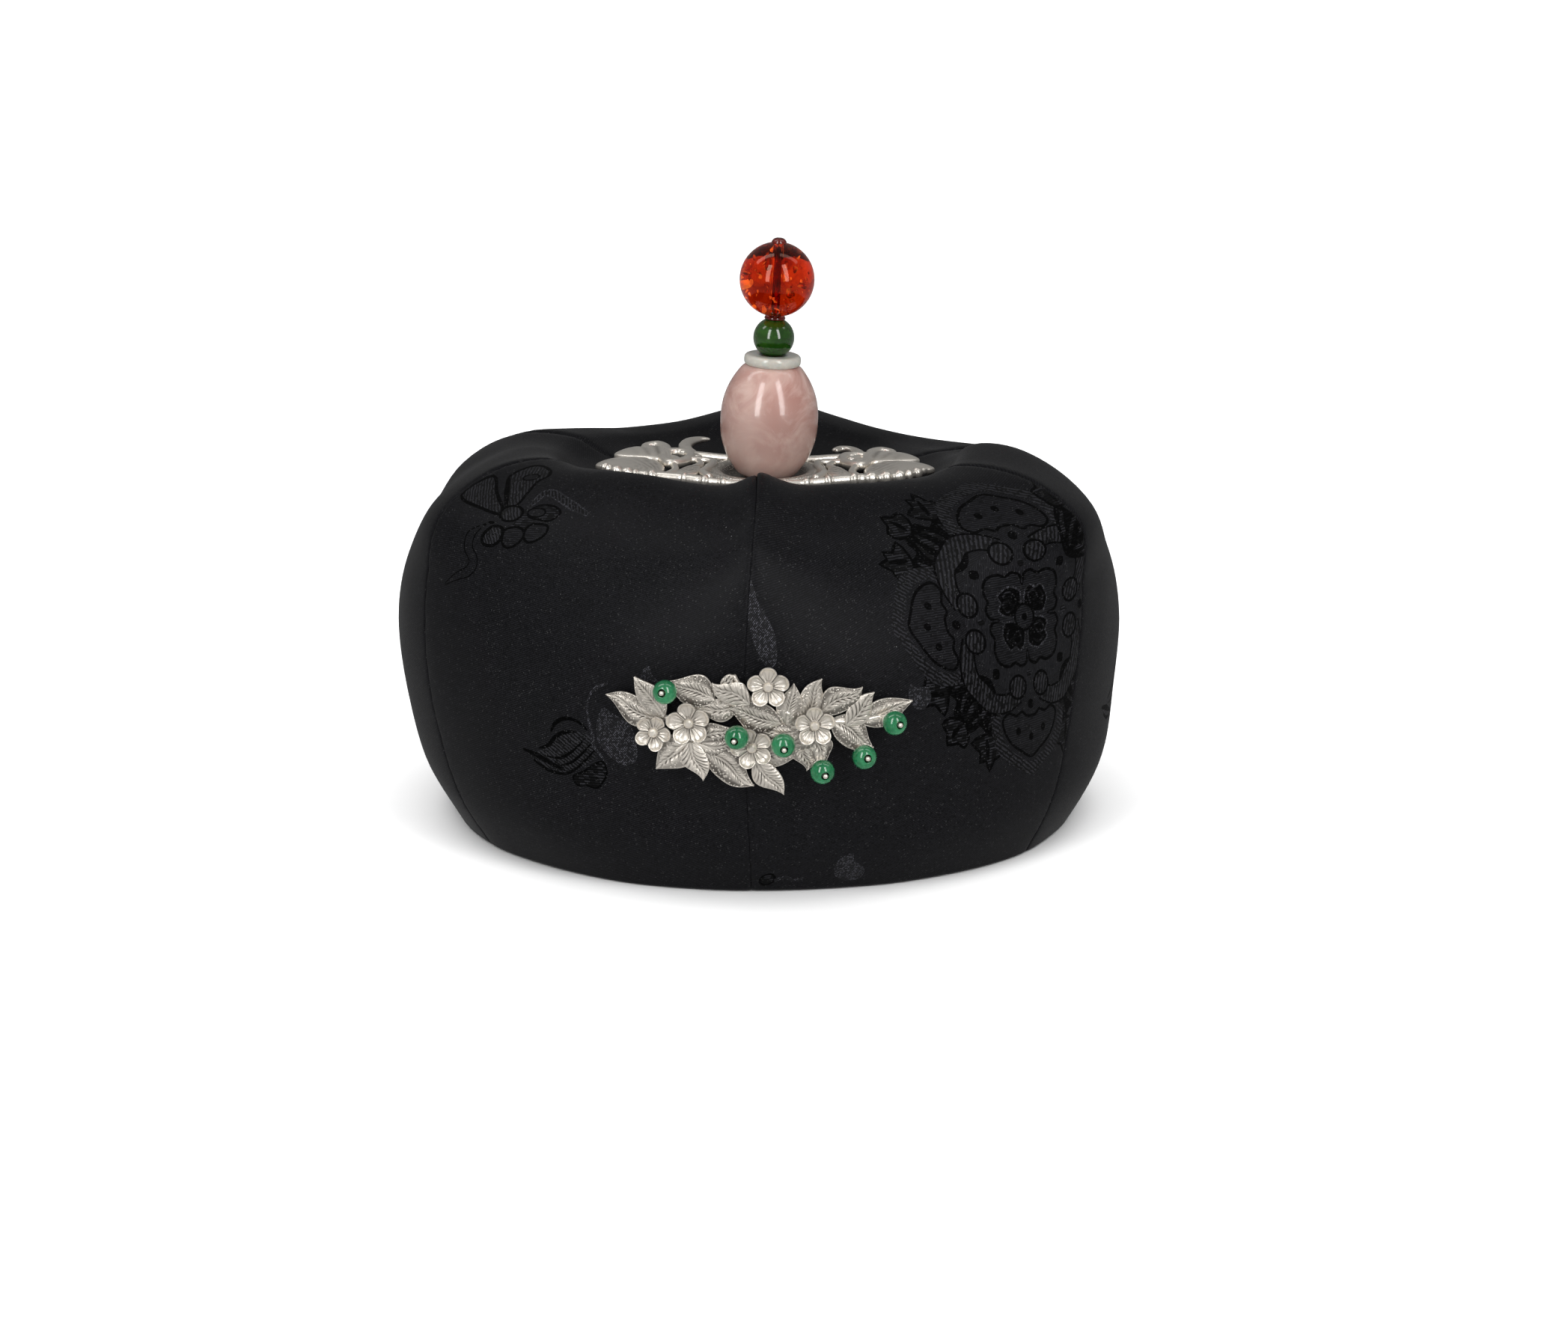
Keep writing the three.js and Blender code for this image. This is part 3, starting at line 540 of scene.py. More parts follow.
def ringed(weave, x, y, wide, high, width=0.5, heading=0):
    outer = oval("solid", x, y, wide + width / 2, high + width / 2, heading)
    return outer + oval(weave, x, y, wide - width / 2, high - width / 2, heading)


def ribbon(weave, points, widths):
    """A band along an open line, its width going through the given widths."""
    line = smooth_line(points)
    half = np.interp(np.linspace(0, 1, len(line)), np.linspace(0, 1, len(widths)), widths)[:, None] / 2
    aside = line_normals(line, False) * half
    return [(weave, np.concatenate([line + aside, (line - aside)[::-1]]))]


def moved(shapes, x=0.0, y=0.0, turn=0.0, wide=1.0, high=1.0, lean=0.0, slope=0.0):
    """Shapes turned, stretched, leant and shifted to a place on the cloth."""
    angle = math.radians(turn)
    cos, sin = math.cos(angle), math.sin(angle)
    out = []
    for weave, line in shapes:
        across = line[:, 0] * cos - line[:, 1] * sin
        up = line[:, 0] * sin + line[:, 1] * cos
        place = np.stack([x + wide * across - lean * up, y + high * up - slope * across], -1)
        out.append((weave, place))
    return out


def mirrored(shapes):
    return [(weave, line * (-1, 1)) for weave, line in shapes]


def both_sides(half):
    """A closed line from its right half, which runs from the top down to the bottom."""
    return half + [(-x, y) for x, y in half[::-1] if x > 0]


def cartouche():
    """One of the medallion's four petals, seen above its middle."""
    shapes = filled("twill", both_sides(
        [(0, 36), (4, 34.2), (8.4, 31.8), (11.6, 28.8), (12.8, 25), (12.4, 21.4), (8, 20.4), (0, 21)]), 3)
    shapes += filled("ground", both_sides(
        [(0, 32.8), (3.6, 31.3), (7.4, 29), (9.6, 26), (10.2, 22.4), (8, 19.6), (0, 19.4)]), 3)
    bowl = both_sides([(0, 31.6), (3.4, 30), (6.8, 27.8), (8.8, 25), (9.4, 22.2), (7.4, 20.8), (5, 21.6),
                       (3, 20.9), (1.4, 22)])
    shapes += bordered("floor", bowl, 0.65)
    for x, y in [(-4.4, 25.3), (0, 27), (4.4, 25.3)]:
        shapes += oval("solid", x, y, 0.85, 0.95, sides=8)
    return shapes


def scroll():
    """The medallion's C-scroll round one corner of its square, with a ball at each end."""
    line = [(3.6, 17), (8, 18.4), (12.4, 17.8), (15.2, 15.2)]
    line = line + [(y, x) for x, y in line[-2::-1]]
    shapes = ribbon("solid", line, [3.8, 4.9, 5.4, 4.9, 3.8])
    shapes += ribbon("ribs", line, [2.8, 3.9, 4.4, 3.9, 2.8])
    for x, y in [(4, 15.2), (15.2, 4)]:
        shapes += ringed("ribs", x, y, 2.7, 2.6, 0.6)
    return shapes + filled("solid", [(9.8, 12.6), (11.6, 12.4), (11.4, 10.4), (9.6, 10.6)], 2)


def flame():
    """The tassel between two petals, along the upward direction."""
    base = both_sides([(0, 31), (3.4, 30.4), (4.6, 27.6), (8.4, 27.8), (8, 24), (4.4, 19.8), (0, 17.6)])
    shapes = filled("solid", base, 3)
    for curl in [
        [(0.8, 20), (2.6, 22.4), (3.2, 25.6), (2, 28.6)],
        [(3.4, 20.6), (5.8, 23.4), (6.8, 26.6)],
        [(0, 23.4), (0.2, 26), (0, 29.6)],
    ]:
        for side in (-1, 1):
            shapes += ribbon("dashes", [(side * x, y) for x, y in curl], [0.4, 1.2, 1.1, 0.4])
    for side in (-1, 1):
        leaf = [(8.4, 26.8), (6.4, 28.8), (5, 32.2), (8.4, 32), (10, 33.8), (11.2, 32.4), (13.6, 33.4),
                (13, 30.6), (13.8, 28.6), (11, 27.4)]
        shapes += bordered("dashes", [(side * x, y) for x, y in leaf], 0.7, steps=2)
        vein = [(side * 8, 28.6), (side * 9.8, 30.2), (side * 11.6, 31.8)]
        shapes += ribbon("solid", vein, [0.6, 1.4, 0.4])
    fan = both_sides([(0, 36.8), (1.8, 34.8), (4, 34.2), (3.6, 31.8), (0, 29.8)])
    shapes += bordered("dashes", fan, 0.7, steps=2)
    return shapes + ribbon("solid", [(0, 31), (0.3, 33), (0, 35)], [0.4, 1.4, 0.4])


def heart():
    """The medallion's middle: a dotted eye in four dark knots in a lobed square."""
    corner = [(0, 7.4), (0.5, 9.8), (2.4, 10.7), (4.2, 9.7), (6, 10.3), (8.2, 9.9), (9.6, 8.6)]
    corner = corner + [(10.2, 6.2), (9.6, 4.2), (10.5, 2.4), (9.6, 0.5)]
    square = []
    for quarter in range(4):
        for x, y in corner:
            square.append([(x, y), (y, -x), (-x, -y), (-y, x)][quarter])
    shapes = bordered("floor", square, 0.7, steps=3)
    lobe = [(0.5, 1.6), (0.7, 5.8), (2.2, 7.2), (3.6, 6.3), (5.2, 7), (6.2, 5.8), (7.2, 3.8), (6.6, 1.6),
            (5.2, 0.6)]
    knot = [(2.2, 2.8), (1.6, 5), (3.2, 5.8), (4.2, 4.4), (3, 3.4)]
    for turn in (0, 90, 180, 270):
        shapes += moved(bordered("solid", lobe, 0.45, "loose"), turn=turn)
        shapes += moved(ribbon("dashes", knot, [0.4, 0.55, 0.4]), turn=turn)
        shapes += moved(ribbon("dashes", [(5, 5.6), (6, 4), (5, 2.2)], [0.4, 0.6, 0.4]), turn=turn)
    shapes += ringed("floor", 0, 0, 2.9, 2.9, 0.6)
    return shapes + oval("solid", 0, 0, 0.85, 0.85, sides=8)


def medallion():
    shapes = oval("satin", 0, 0, 17, 17, sides=32)
    for turn in (0, 90, 180, 270):
        shapes += moved(flame(), turn=turn + 45)
        shapes += moved(cartouche(), turn=turn)
        shapes += moved(scroll(), turn=turn)
        shapes += moved(oval("solid", 0, 19.4, 1.05, 1.15, sides=8), turn=turn)
        shapes += moved(oval("dashes", 0, 12.6, 0.8, 1, sides=8), turn=turn)
    return shapes + heart()


def butterfly():
    """A bow-winged butterfly with cloud petals and two ribbons, its knot in the middle."""
    wing = [(-2.4, 0.8), (-6, 4.6), (-10.2, 8.6), (-14.6, 1.6), (-8, 0.3), (-3, -0.5)]
    shapes = bordered("twill_steep", wing, 0.8)
    fan = [(-1.9, 1.6), (-4.2, 5.6), (-6.2, 9.4), (-5.6, 12), (-4.2, 14.4), (-2.2, 15), (0.6, 14), (2, 12),
           (1, 9.6), (0.8, 6), (0.2, 2.4)]
    shapes += bordered("twill_steep", fan, 0.7)
    shapes += ribbon("solid", [(-1.8, 1.4), (-4.1, 5.6), (-6, 9.2)], [0.6, 1.3, 0.7])
    shapes += ringed("ground", -1.4, 10.8, 1.7, 1, 0.4, 20)
    ribbon_line = [(3.2, 1.8), (4, 4.4), (4.6, 6.2), (6.6, 6.4), (9.6, 4.9), (13.4, 3), (17.6, 1.2)]
    shapes += ribbon("loose", ribbon_line, [0.8, 1.6, 2.1, 2.2, 2.1, 2.1, 1])
    shapes += ribbon("twill_steep", ribbon_line, [0.3, 0.9, 1.4, 1.5, 1.4, 1.4, 0.4])
    belly = [(2.4, 1.2), (4.6, 1.2), (6.4, -1.8), (5.4, -4), (3, -3.4), (1.4, -3.6), (1.8, -1.8)]
    shapes += filled("dashes", belly)
    petal = [(3.8, 0.8), (5, 2.5), (7, 3), (9.2, 2.6), (10.9, 1.4), (10.8, 0.2), (9.4, -1.2), (7, -1),
             (4.6, -0.6)]
    shapes += bordered("dashes", petal, 0.5)
    shapes += ringed("ground", 5.6, 0.8, 2, 1.2, 0.4)
    for weave, border, cloud in [
        ("floor", 0.6, [(5.8, -2.4), (8, -2.1), (9.8, -2.5), (10, -4.4), (8.6, -6), (6.6, -6.7), (5.2, -5.4),
                        (5, -3.8)]),
        ("floor", 0.6, [(0.4, -4.2), (3, -3.3), (5, -4.5), (4.8, -6.5), (3.1, -8.2), (1.4, -8.2),
                        (0.3, -6.6)]),
        ("twill_steep", 0.8, [(-2.6, -3.7), (-0.6, -3.9), (0.1, -5.4), (-0.3, -7.3), (-1.9, -8.5),
                              (-4, -8.3), (-4.6, -6.8), (-3.9, -5)]),
    ]:
        shapes += bordered(weave, cloud, border)
    shapes += ringed("twill_steep", 0, 0, 2.6, 2.1, 0.6)
    shapes += oval("solid", -3.6, -2.9, 0.8, 0.4, sides=8) + oval("solid", -5, -3.7, 0.5, 0.35, sides=8)
    tail = [(-5.8, -4.4), (-7.6, -6.8), (-7.6, -10), (-6.1, -12), (-6, -14), (-7.6, -15.8), (-10.4, -17.2),
            (-14.4, -19.8)]
    shapes += ribbon("solid", tail, [1, 2.4, 2.6, 2.6, 2.6, 2.4, 1.9, 0.4])
    return shapes + ribbon("ground", tail, [0.3, 1.8, 2, 2, 2, 1.8, 1.3, 0.05])


def peach():
    """A feathered bud with its leaf, beside an arc and a patch of loose threads."""
    body = [(-13, -1), (-9, -1), (-7, 0.6), (-4.6, 2.8), (-1.6, 4.8), (2, 5.2), (4.8, 4.4), (6, 1),
            (4.4, -1.2), (1.4, -3.2), (-1.4, -4.7), (-4.6, -5), (-8, -4.4), (-10.6, -2.8)]
    shapes = filled("twill", body)
    for vein, widths in [
        ([(-13, -1), (-9, -1.9), (-6, -3), (-2.4, -4.1)], [0.5, 1.3, 1.1, 0.5]),
        ([(-8.4, -0.1), (-5.8, 1), (-3.6, 3.2), (-1, 4.6), (1.4, 5)], [0.4, 0.9, 0.9, 0.9, 0.4]),
        ([(-10.4, -3), (-6.8, -4.7), (-2.6, -4.9), (0.6, -3.2), (3.4, -0.8), (5.6, 1.4)],
         [0.5, 0.8, 0.6, 0.6, 0.5, 0.3]),
        ([(-6.6, -1.6), (-3, -1.4), (0, 0.4), (3, 3)], [0.3, 0.7, 0.6, 0.3]),
        ([(-3.4, -3.2), (-0.4, -2), (2.4, 0.2), (4.8, 2.6)], [0.3, 0.6, 0.5, 0.3]),
        ([(-4.6, 4.2), (-3.4, 6.1), (-1.4, 7.4), (0.8, 7.7), (3, 7), (4.4, 5.8)],
         [0.4, 0.9, 0.9, 0.8, 0.6, 0.4]),
    ]:
        shapes += ribbon("solid", vein, widths)
    leaf = [(-0.6, -5.2), (0, -7.1), (2.2, -6.9), (4.6, -7.2), (6.2, -5.8), (7.7, -3.4), (7.2, -1), (5, -1.8),
            (2.4, -3.6)]
    shapes += bordered("dashes", leaf, 0.45)
    patch = [(6.6, 4), (7, 8), (8.6, 11), (11, 9.8), (14.4, 8), (15.4, 4), (15, 0.4), (12.6, -1.2),
             (10, -0.4), (8, 1.4)]
    shapes += filled("loose", patch)
    arc = [(9.6, 16), (7.2, 15.2), (5.5, 13.2), (4.8, 10.4), (5.1, 7.6), (5.6, 5), (5.6, 2.4), (6.9, 0.4),
           (8.2, -1.4)]
    return shapes + ribbon("loose", arc, [0.4, 0.6, 0.5, 0.5, 0.6, 0.8, 0.8, 0.6, 0.4])


def bud():
    """A small lone bud of loose stitches."""
    outline = [(0, 4.6), (-2.6, 2.6), (-2.2, -1.4), (0.4, -3.6), (3.6, -3.4), (4, -0.4), (1, 2.4)]
    return filled("loose", outline)


def wave():
    """A short wavy line with a ball at its end."""
    shapes = ringed("dashes", -3, 0, 1.5, 1.7, 0.5)
    return shapes + ribbon("loose", [(-1.4, -0.4), (0.6, 0.6), (2.6, -0.4), (4.6, 0.4)], [0.8, 0.9, 0.7])


Figure = namedtuple("Figure", "gore make x y turn wide high lean slope mirror")


def figure(gore, make, x, y, turn=0, wide=1.0, high=1.0, lean=0.0, slope=0.0, mirror=False):
    return Figure(gore, make, x, y, turn, wide, high, lean, slope, mirror)


# Where each figure lies on its gore's cloth.
FIGURES = [
    figure("front_right", medallion, 21.8, 57.4, wide=0.88, high=0.97, lean=0.14, slope=0.05),
    figure("front_right", bud, -37, 60, high=2, wide=0.7),
    figure("front_right", bud, -5, 44.6, turn=40, wide=0.6, high=0.9),
    figure("front_right", bud, -14.6, 6.2),
    figure("front_right", wave, -27.5, 3.6),
    figure("front_left", butterfly, -18.7, 82.1, wide=0.926),
    figure("front_left", peach, 2.9, 32.4, wide=0.97),
    figure("front_left", bud, 21, 49.6, wide=0.6, high=0.7),
    figure("side_right", butterfly, 16, 64, mirror=True),
    figure("side_right", peach, -10, 30),
    figure("side_right", bud, 24, 16),
    figure("back_right", medallion, -9, 48, turn=-6, wide=0.92),
    figure("back_right", bud, 22, 84),
    figure("back_left", butterfly, 4, 72),
    figure("back_left", peach, -18, 34, turn=8),
    figure("back_left", bud, 26, 30, mirror=True),
    figure("side_left", peach, 6, 70, mirror=True),
    figure("side_left", butterfly, -2, 34, turn=-12),
    figure("side_left", bud, 26, 12),
]


def figures_of(name):
    """The figures of one gore, in the order in which they are drawn."""
    shapes = []
    for row in FIGURES:
        if row.gore == name:
            made = mirrored(row.make()) if row.mirror else row.make()
            shapes += moved(made, row.x, row.y, row.turn, row.wide, row.high, row.lean, row.slope)
    return shapes


# The silk of one gore: a triangulated cloth whose triangles end at the figures' lines

def cloth_rows(cloth):
    hem = np.arange(HEM_END, HEM_TOP, HEM_ROW)
    count = round((cloth.top - HEM_TOP) / CLOTH_ROW)
    return np.concatenate([hem, np.linspace(HEM_TOP, cloth.top, count + 1)])


def row_columns(half):
    """Places across one row of cloth, close together along both seams."""
    edge = np.array(EDGE_COLUMNS) * min(1, half / NARROW)
    inner = half - edge[-1]
    count = max(1, round(2 * inner / CLOTH_COLUMN))
    middle = np.linspace(-inner, inner, count + 1)
    return np.concatenate([-half + edge[:-1], middle, half - edge[:-1][::-1]])


def cloth_mesh(cloth, shapes):
    """Points on the cloth, triangles and their weaves."""
    rows = cloth_rows(cloth)
    lines = [(y, row_columns(float(cloth.half_width(y)))) for y in rows]
    right = [(xs[-1], y) for y, xs in lines]
    left = [(xs[0], y) for y, xs in reversed(lines)]
    bottom = [(x, lines[0][0]) for x in lines[0][1][1:-1]]
    top = [(x, lines[-1][0]) for x in lines[-1][1][-2:0:-1]]
    outline = bottom + right + top + left
    inside = [(x, y) for y, xs in lines[1:-1] for x in xs[1:-1]]
    points = outline + inside
    faces = [list(range(len(outline)))]
    weaves = [WEAVE_INDEX["ground"]]
    for weave, line in shapes:
        line = line if area_of(line) > 0 else line[::-1]
        line = np.roll(line, -int(np.argmax(line[:, 0])), axis=0)
        faces.append(list(range(len(points), len(points) + len(line))))
        points += [tuple(point) for point in line]
        weaves.append(WEAVE_INDEX[weave])
    flat = [Vector(point) for point in points]
    made, _, triangles, _, _, sources = delaunay_2d_cdt(flat, [], faces, 0, 1e-4, True)
    kept = [(face, max(source)) for face, source in zip(triangles, sources) if 0 in source]
    used = sorted({corner for face, _ in kept for corner in face})
    number = {corner: index for index, corner in enumerate(used)}
    faces = [[number[corner] for corner in face] for face, _ in kept]
    return np.array(made)[used], faces, [weaves[source] for _, source in kept]


LINING_ROWS, LINING_COLUMNS = 45, 22


def lining_mesh(cloth, first):
    """The lining's points and quads, its first point being number first."""
    level = np.linspace(0.09, len(SECTION) - 1, LINING_ROWS)
    across = (1 - np.cos(np.linspace(0, np.pi, LINING_COLUMNS))) / 2
    levels, places = [grid.ravel() for grid in np.meshgrid(level, across, indexing="ij")]
    points = cloth.lining_point(levels, places)
    faces = [face[::-1] for face in grid_faces(LINING_ROWS, LINING_COLUMNS, first)]
    return points, faces


def build_gore(gore, silks, lining):
    """One padded gore: silk outside and under the rim, lining inside."""
    name = GORES[gore].name
    cloth = Cloth(gore)
    flat, triangles, weaves = cloth_mesh(cloth, figures_of(name))
    silk = cloth.point(flat[:, 0], flat[:, 1])
    normals = cloth.normals(flat[:, 0], flat[:, 1])
    inside, quads = lining_mesh(cloth, len(flat))
    piece = mesh_object(f"gore_{name}_silk", np.concatenate([silk, inside]), triangles + quads)
    mesh = piece.data
    mesh.polygons.foreach_set("material_index", weaves + [len(WEAVES)] * len(quads))
    for material in [*silks, lining]:
        mesh.materials.append(material)
    place = np.zeros((len(mesh.vertices), 3), np.float32)
    place[: len(flat), :2] = flat
    place[:, 2] = gore
    mesh.attributes.new("cloth", "FLOAT_VECTOR", "POINT").data.foreach_set("vector", place.ravel())
    own = np.zeros((len(mesh.vertices), 3))
    own[: len(flat)] = normals
    mesh.normals_split_custom_set_from_vertices(own.tolist())
    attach(piece, ROOT)
    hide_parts(f"gore_{name}")
    return piece


def build_cap():
    silks = [silk_material(weave) for weave in WEAVES]
    lining = lining_material()
    return [build_gore(gore, silks, lining) for gore in range(len(GORES))]


# Hard pieces: turned beads and cast silver

Shell = namedtuple("Shell", "points faces hollow smooth chart")


class Casting:
    """Gathers closed shells into one mesh, and keeps how much painted shade each point gets: how deep in a
    hollow, under a piece or in a gap it lies.

    A point's chart is its place across the engraved lines, counted in lines, then how strongly it is
    engraved, and how strongly it is beaded.
    """

    def __init__(self):
        self.shells = []

    def add(self, points, faces, hollow=None, smooth=True, chart=None):
        hollow = np.zeros(len(points)) if hollow is None else hollow
        chart = np.zeros((len(points), 3)) if chart is None else chart
        self.shells.append(Shell(np.asarray(points, float), faces, hollow, smooth, chart))

    def build(self, name, place):
        points, faces, smooth = [], [], []
        first = 0
        for shell in self.shells:
            points.append(shell.points)
            faces += [[first + corner for corner in face] for face in shell.faces]
            smooth += [shell.smooth] * len(shell.faces)
            first += len(shell.points)
        piece = mesh_object(name, place(np.concatenate(points)), faces)
        mesh = piece.data
        mesh.polygons.foreach_set("use_smooth", smooth)
        hollow = np.concatenate([shell.hollow for shell in self.shells]).astype(np.float32)
        mesh.attributes.new("hollow", "FLOAT", "POINT").data.foreach_set("value", hollow)
        chart = np.concatenate([shell.chart for shell in self.shells]).astype(np.float32)
        mesh.attributes.new("chart", "FLOAT_VECTOR", "POINT").data.foreach_set("vector", chart.ravel())
        return piece


def slab(front, back, rows, columns):
    """Faces of a closed slab from two grids of points, the first seen from +Z."""
    size = rows * columns
    faces = [face[::-1] for face in grid_faces(rows, columns)] + grid_faces(rows, columns, size)
    rim = [row * columns for row in range(rows)]
    rim += [(rows - 1) * columns + col for col in range(1, columns)]
    rim += [row * columns + columns - 1 for row in range(rows - 2, -1, -1)]
    rim += list(range(columns - 2, 0, -1))
    faces += [(size + a, size + b, b, a) for a, b in zip(rim, rim[1:] + rim[:1])]
    return np.concatenate([front, back]), faces


def turned(profile, sides=96):
    """A closed profile of (radius, height) turned about +Z: its points and quads."""
    profile = np.array(profile, float)
    angle = np.linspace(0, 2 * np.pi, sides, endpoint=False)[:, None]
    x, y = profile[:, 0] * np.cos(angle), profile[:, 0] * np.sin(angle)
    points = np.stack([x, y, np.broadcast_to(profile[:, 1], x.shape)], -1).reshape(-1, 3)
    count = len(profile)
    faces = []
    for side in range(sides):
        low, high = side * count, (side + 1) % sides * count
        for step in range(count):
            after = (step + 1) % count
            faces.append((low + step, high + step, high + after, low + after))
    return points, faces


CORNER_STEPS = 5


def rounded(corners, radius):
    """A closed polygon with each corner rounded off."""
    corners = [np.array(corner, float) for corner in corners]
    line = []
    for index, corner in enumerate(corners):
        before, after = corners[index - 1], corners[(index + 1) % len(corners)]
        reach = [min(radius, np.linalg.norm(end - corner) / 2.05) for end in (before, after)]
        start = corner + (before - corner) / np.linalg.norm(before - corner) * reach[0]
        end = corner + (after - corner) / np.linalg.norm(after - corner) * reach[1]
        for step in range(CORNER_STEPS + 1):
            t = step / CORNER_STEPS
            line.append((1 - t) ** 2 * start + 2 * t * (1 - t) * corner + t**2 * end)
    return np.array(line)


def tube(points, radii, sides=14, squash=1.0, lumps=()):
    """A round-ended bar through points in space; squash flattens it in Z, and lumps swell it."""
    path = smooth_line(points, steps=18 if lumps else 6)
    count = len(path)
    share = np.linspace(0, 1, count)
    radii = np.interp(share, np.linspace(0, 1, len(radii)), radii)
    for spot, swell, width in lumps:
        away = np.abs(share - spot) / width
        radii = radii + swell * (np.exp(-(away**4)) - 0.5 * np.exp(-(((away - 1.6) / 0.5) ** 2)))
    ahead = np.gradient(path, axis=0)
    ahead /= np.linalg.norm(ahead, axis=1)[:, None]
    up = np.array([0, 0, 1.0])
    if abs(ahead[0][2]) > 0.9:
        up = np.array([0, 1.0, 0])
    aside = np.cross(up, ahead)
    aside /= np.linalg.norm(aside, axis=1)[:, None]
    lift = np.cross(ahead, aside)
    # Two shrinking rings make each end round.
    ends = [(0, 0.15, -0.55), (0, 0.75, -0.3)] + [(row, 1, 0) for row in range(count)]
    ends += [(count - 1, 0.75, 0.3), (count - 1, 0.15, 0.55)]
    angle = np.linspace(0, 2 * np.pi, sides, endpoint=False)[:, None]
    rings = []
    for row, size, slide in ends:
        radius = radii[row] * size
        middle = path[row] + ahead[row] * slide * radii[row]
        rings.append(middle + radius * (np.cos(angle) * aside[row] + squash * np.sin(angle) * lift[row]))
    faces = grid_faces(len(rings), sides, closed=True)
    faces += [tuple(range(sides))[::-1], tuple((len(rings) - 1) * sides + side for side in range(sides))]
    return np.concatenate(rings), faces


def ball(centre, radius, rings=7, sides=12, flat=1.0):
    """A small ball for bosses and grains."""
    angle = np.linspace(-np.pi / 2, np.pi / 2, rings + 2)[1:-1]
    profile = np.stack([radius * np.cos(angle), radius * flat * np.sin(angle)], -1)
    turn = np.linspace(0, 2 * np.pi, sides, endpoint=False)
    points = [(r * math.cos(a), r * math.sin(a), z) for r, z in profile for a in turn]
    faces = grid_faces(rings, sides, closed=True)
    faces += [tuple(range(sides))[::-1], tuple((rings - 1) * sides + side for side in range(sides))]
    return np.array(points) + np.array(centre, float), faces


# The stack of beads

STACK_X = 2.15
STACK_LEAN = 3.2
STACK_FOOT = 73.2
BARREL_RADIUS, BARREL_END, BARREL_HEIGHT, BARREL_BORE, BARREL_SWELL = 10.5, 6, 24, 1, 2.3
RING_FOOT, RING_RADIUS, RING_HEIGHT, RING_BORE = 23.9, 6.1, 2.4, 2.6
GREEN_MIDDLE, GREEN_RADIUS = 29.9, 4.4
# The small red beads' sections: (radius, height) on the wire.
SPACER = [(1.3, 34.12), (2.1, 33.82), (2.3, 34.15), (2.1, 34.62), (1.3, 34.5)]
TIP = [(0.2, 50.2), (1.6, 50.2), (1.64, 50.5), (1.45, 50.95), (0.95, 51.35), (0.2, 51.48)]
AMBER_MIDDLE, AMBER_RADIUS = 42.51, 8
BEAD_BORE = 0.9


def bead_profile(radius, bore, middle=0.0, steps=40):
    """A bored ball, its bore's mouth softened."""
    stop = math.acos(min(1, bore / radius))
    angle = np.linspace(-stop, stop, steps + 1)
    outside = np.stack([radius * np.cos(angle), radius * np.sin(angle)], -1)
    reach = outside[-1][1]
    inside = np.stack([np.full(5, bore * 0.98), np.linspace(reach * 0.985, -reach * 0.985, 5)], -1)
    return np.concatenate([outside, inside]) + (0, middle)


def barrel_profile():
    along = np.linspace(-1, 1, 49)
    outside = BARREL_RADIUS + (BARREL_END - BARREL_RADIUS) * np.abs(along) ** BARREL_SWELL
    edge = 0.35 * np.exp(-((1 - np.abs(along)) / 0.02))
    line = np.stack([outside - edge, (along + 1) * BARREL_HEIGHT / 2], -1)
    bore = np.stack([np.full(4, BARREL_BORE), np.linspace(BARREL_HEIGHT, 0, 4)], -1)
    return np.concatenate([line, bore])


def ring_profile(radius, height, bore, foot):
    corners = [(bore, 0), (radius, 0), (radius, height), (bore, height)]
    return rounded(corners, 0.42 * height) + (0, foot)


def stack_place(points):
    lean = math.radians(STACK_LEAN)
    x, y, z = np.asarray(points, float).T
    place = [x * math.cos(lean) + z * math.sin(lean), y, z * math.cos(lean) - x * math.sin(lean)]
    return np.stack(place, -1) + (CAP_AXIS[0] + STACK_X, CAP_AXIS[1], STACK_FOOT)


def quartz_material():
    material, nodes = new_material(
        "rose_quartz", Subsurface_Weight=0.25, Subsurface_Scale=0.0025, Subsurface_Radius=(1, 0.5, 0.4),
        Coat_Weight=0.25, Coat_Roughness=0.05, Specular_IOR_Level=0.45,
    )
    place = nodes.object_place()
    clouds = nodes.noise(place, 110, 6, 0.6, 0.9)
    patches_and_painted_light = nodes.noise(place, 46, 2, 0.5, 0.4)
    wisps = nodes.noise(nodes.scaled(place, (1, 1, 0.45)), 260, 5, 0.7, 1.6)
    # Painted light: the bead's colour is made paler towards its left side (-X), where the light falls on it.
    across = nodes.part(place, 0)
    patches_and_painted_light = nodes.math("ADD", patches_and_painted_light, nodes.mapped(across, -0.009, 0.004, 0.14, 0))
    body = nodes.blend(nodes.mapped(patches_and_painted_light, 0.38, 0.66), (0.4, 0.2, 0.168, 1), (0.58, 0.39, 0.34, 1))
    milky = nodes.blend(nodes.mapped(clouds, 0.42, 0.7), body, (0.68, 0.5, 0.44, 1))
    nodes.set(
        Base_Color=nodes.blend(nodes.mapped(wisps, 0.62, 0.8, 0, 0.18), milky, (0.78, 0.65, 0.58, 1)),
        Roughness=nodes.mapped(clouds, 0.3, 0.8, 0.14, 0.22),
        Normal=nodes.bump(clouds, 0.01 * MM),
    )
    return material


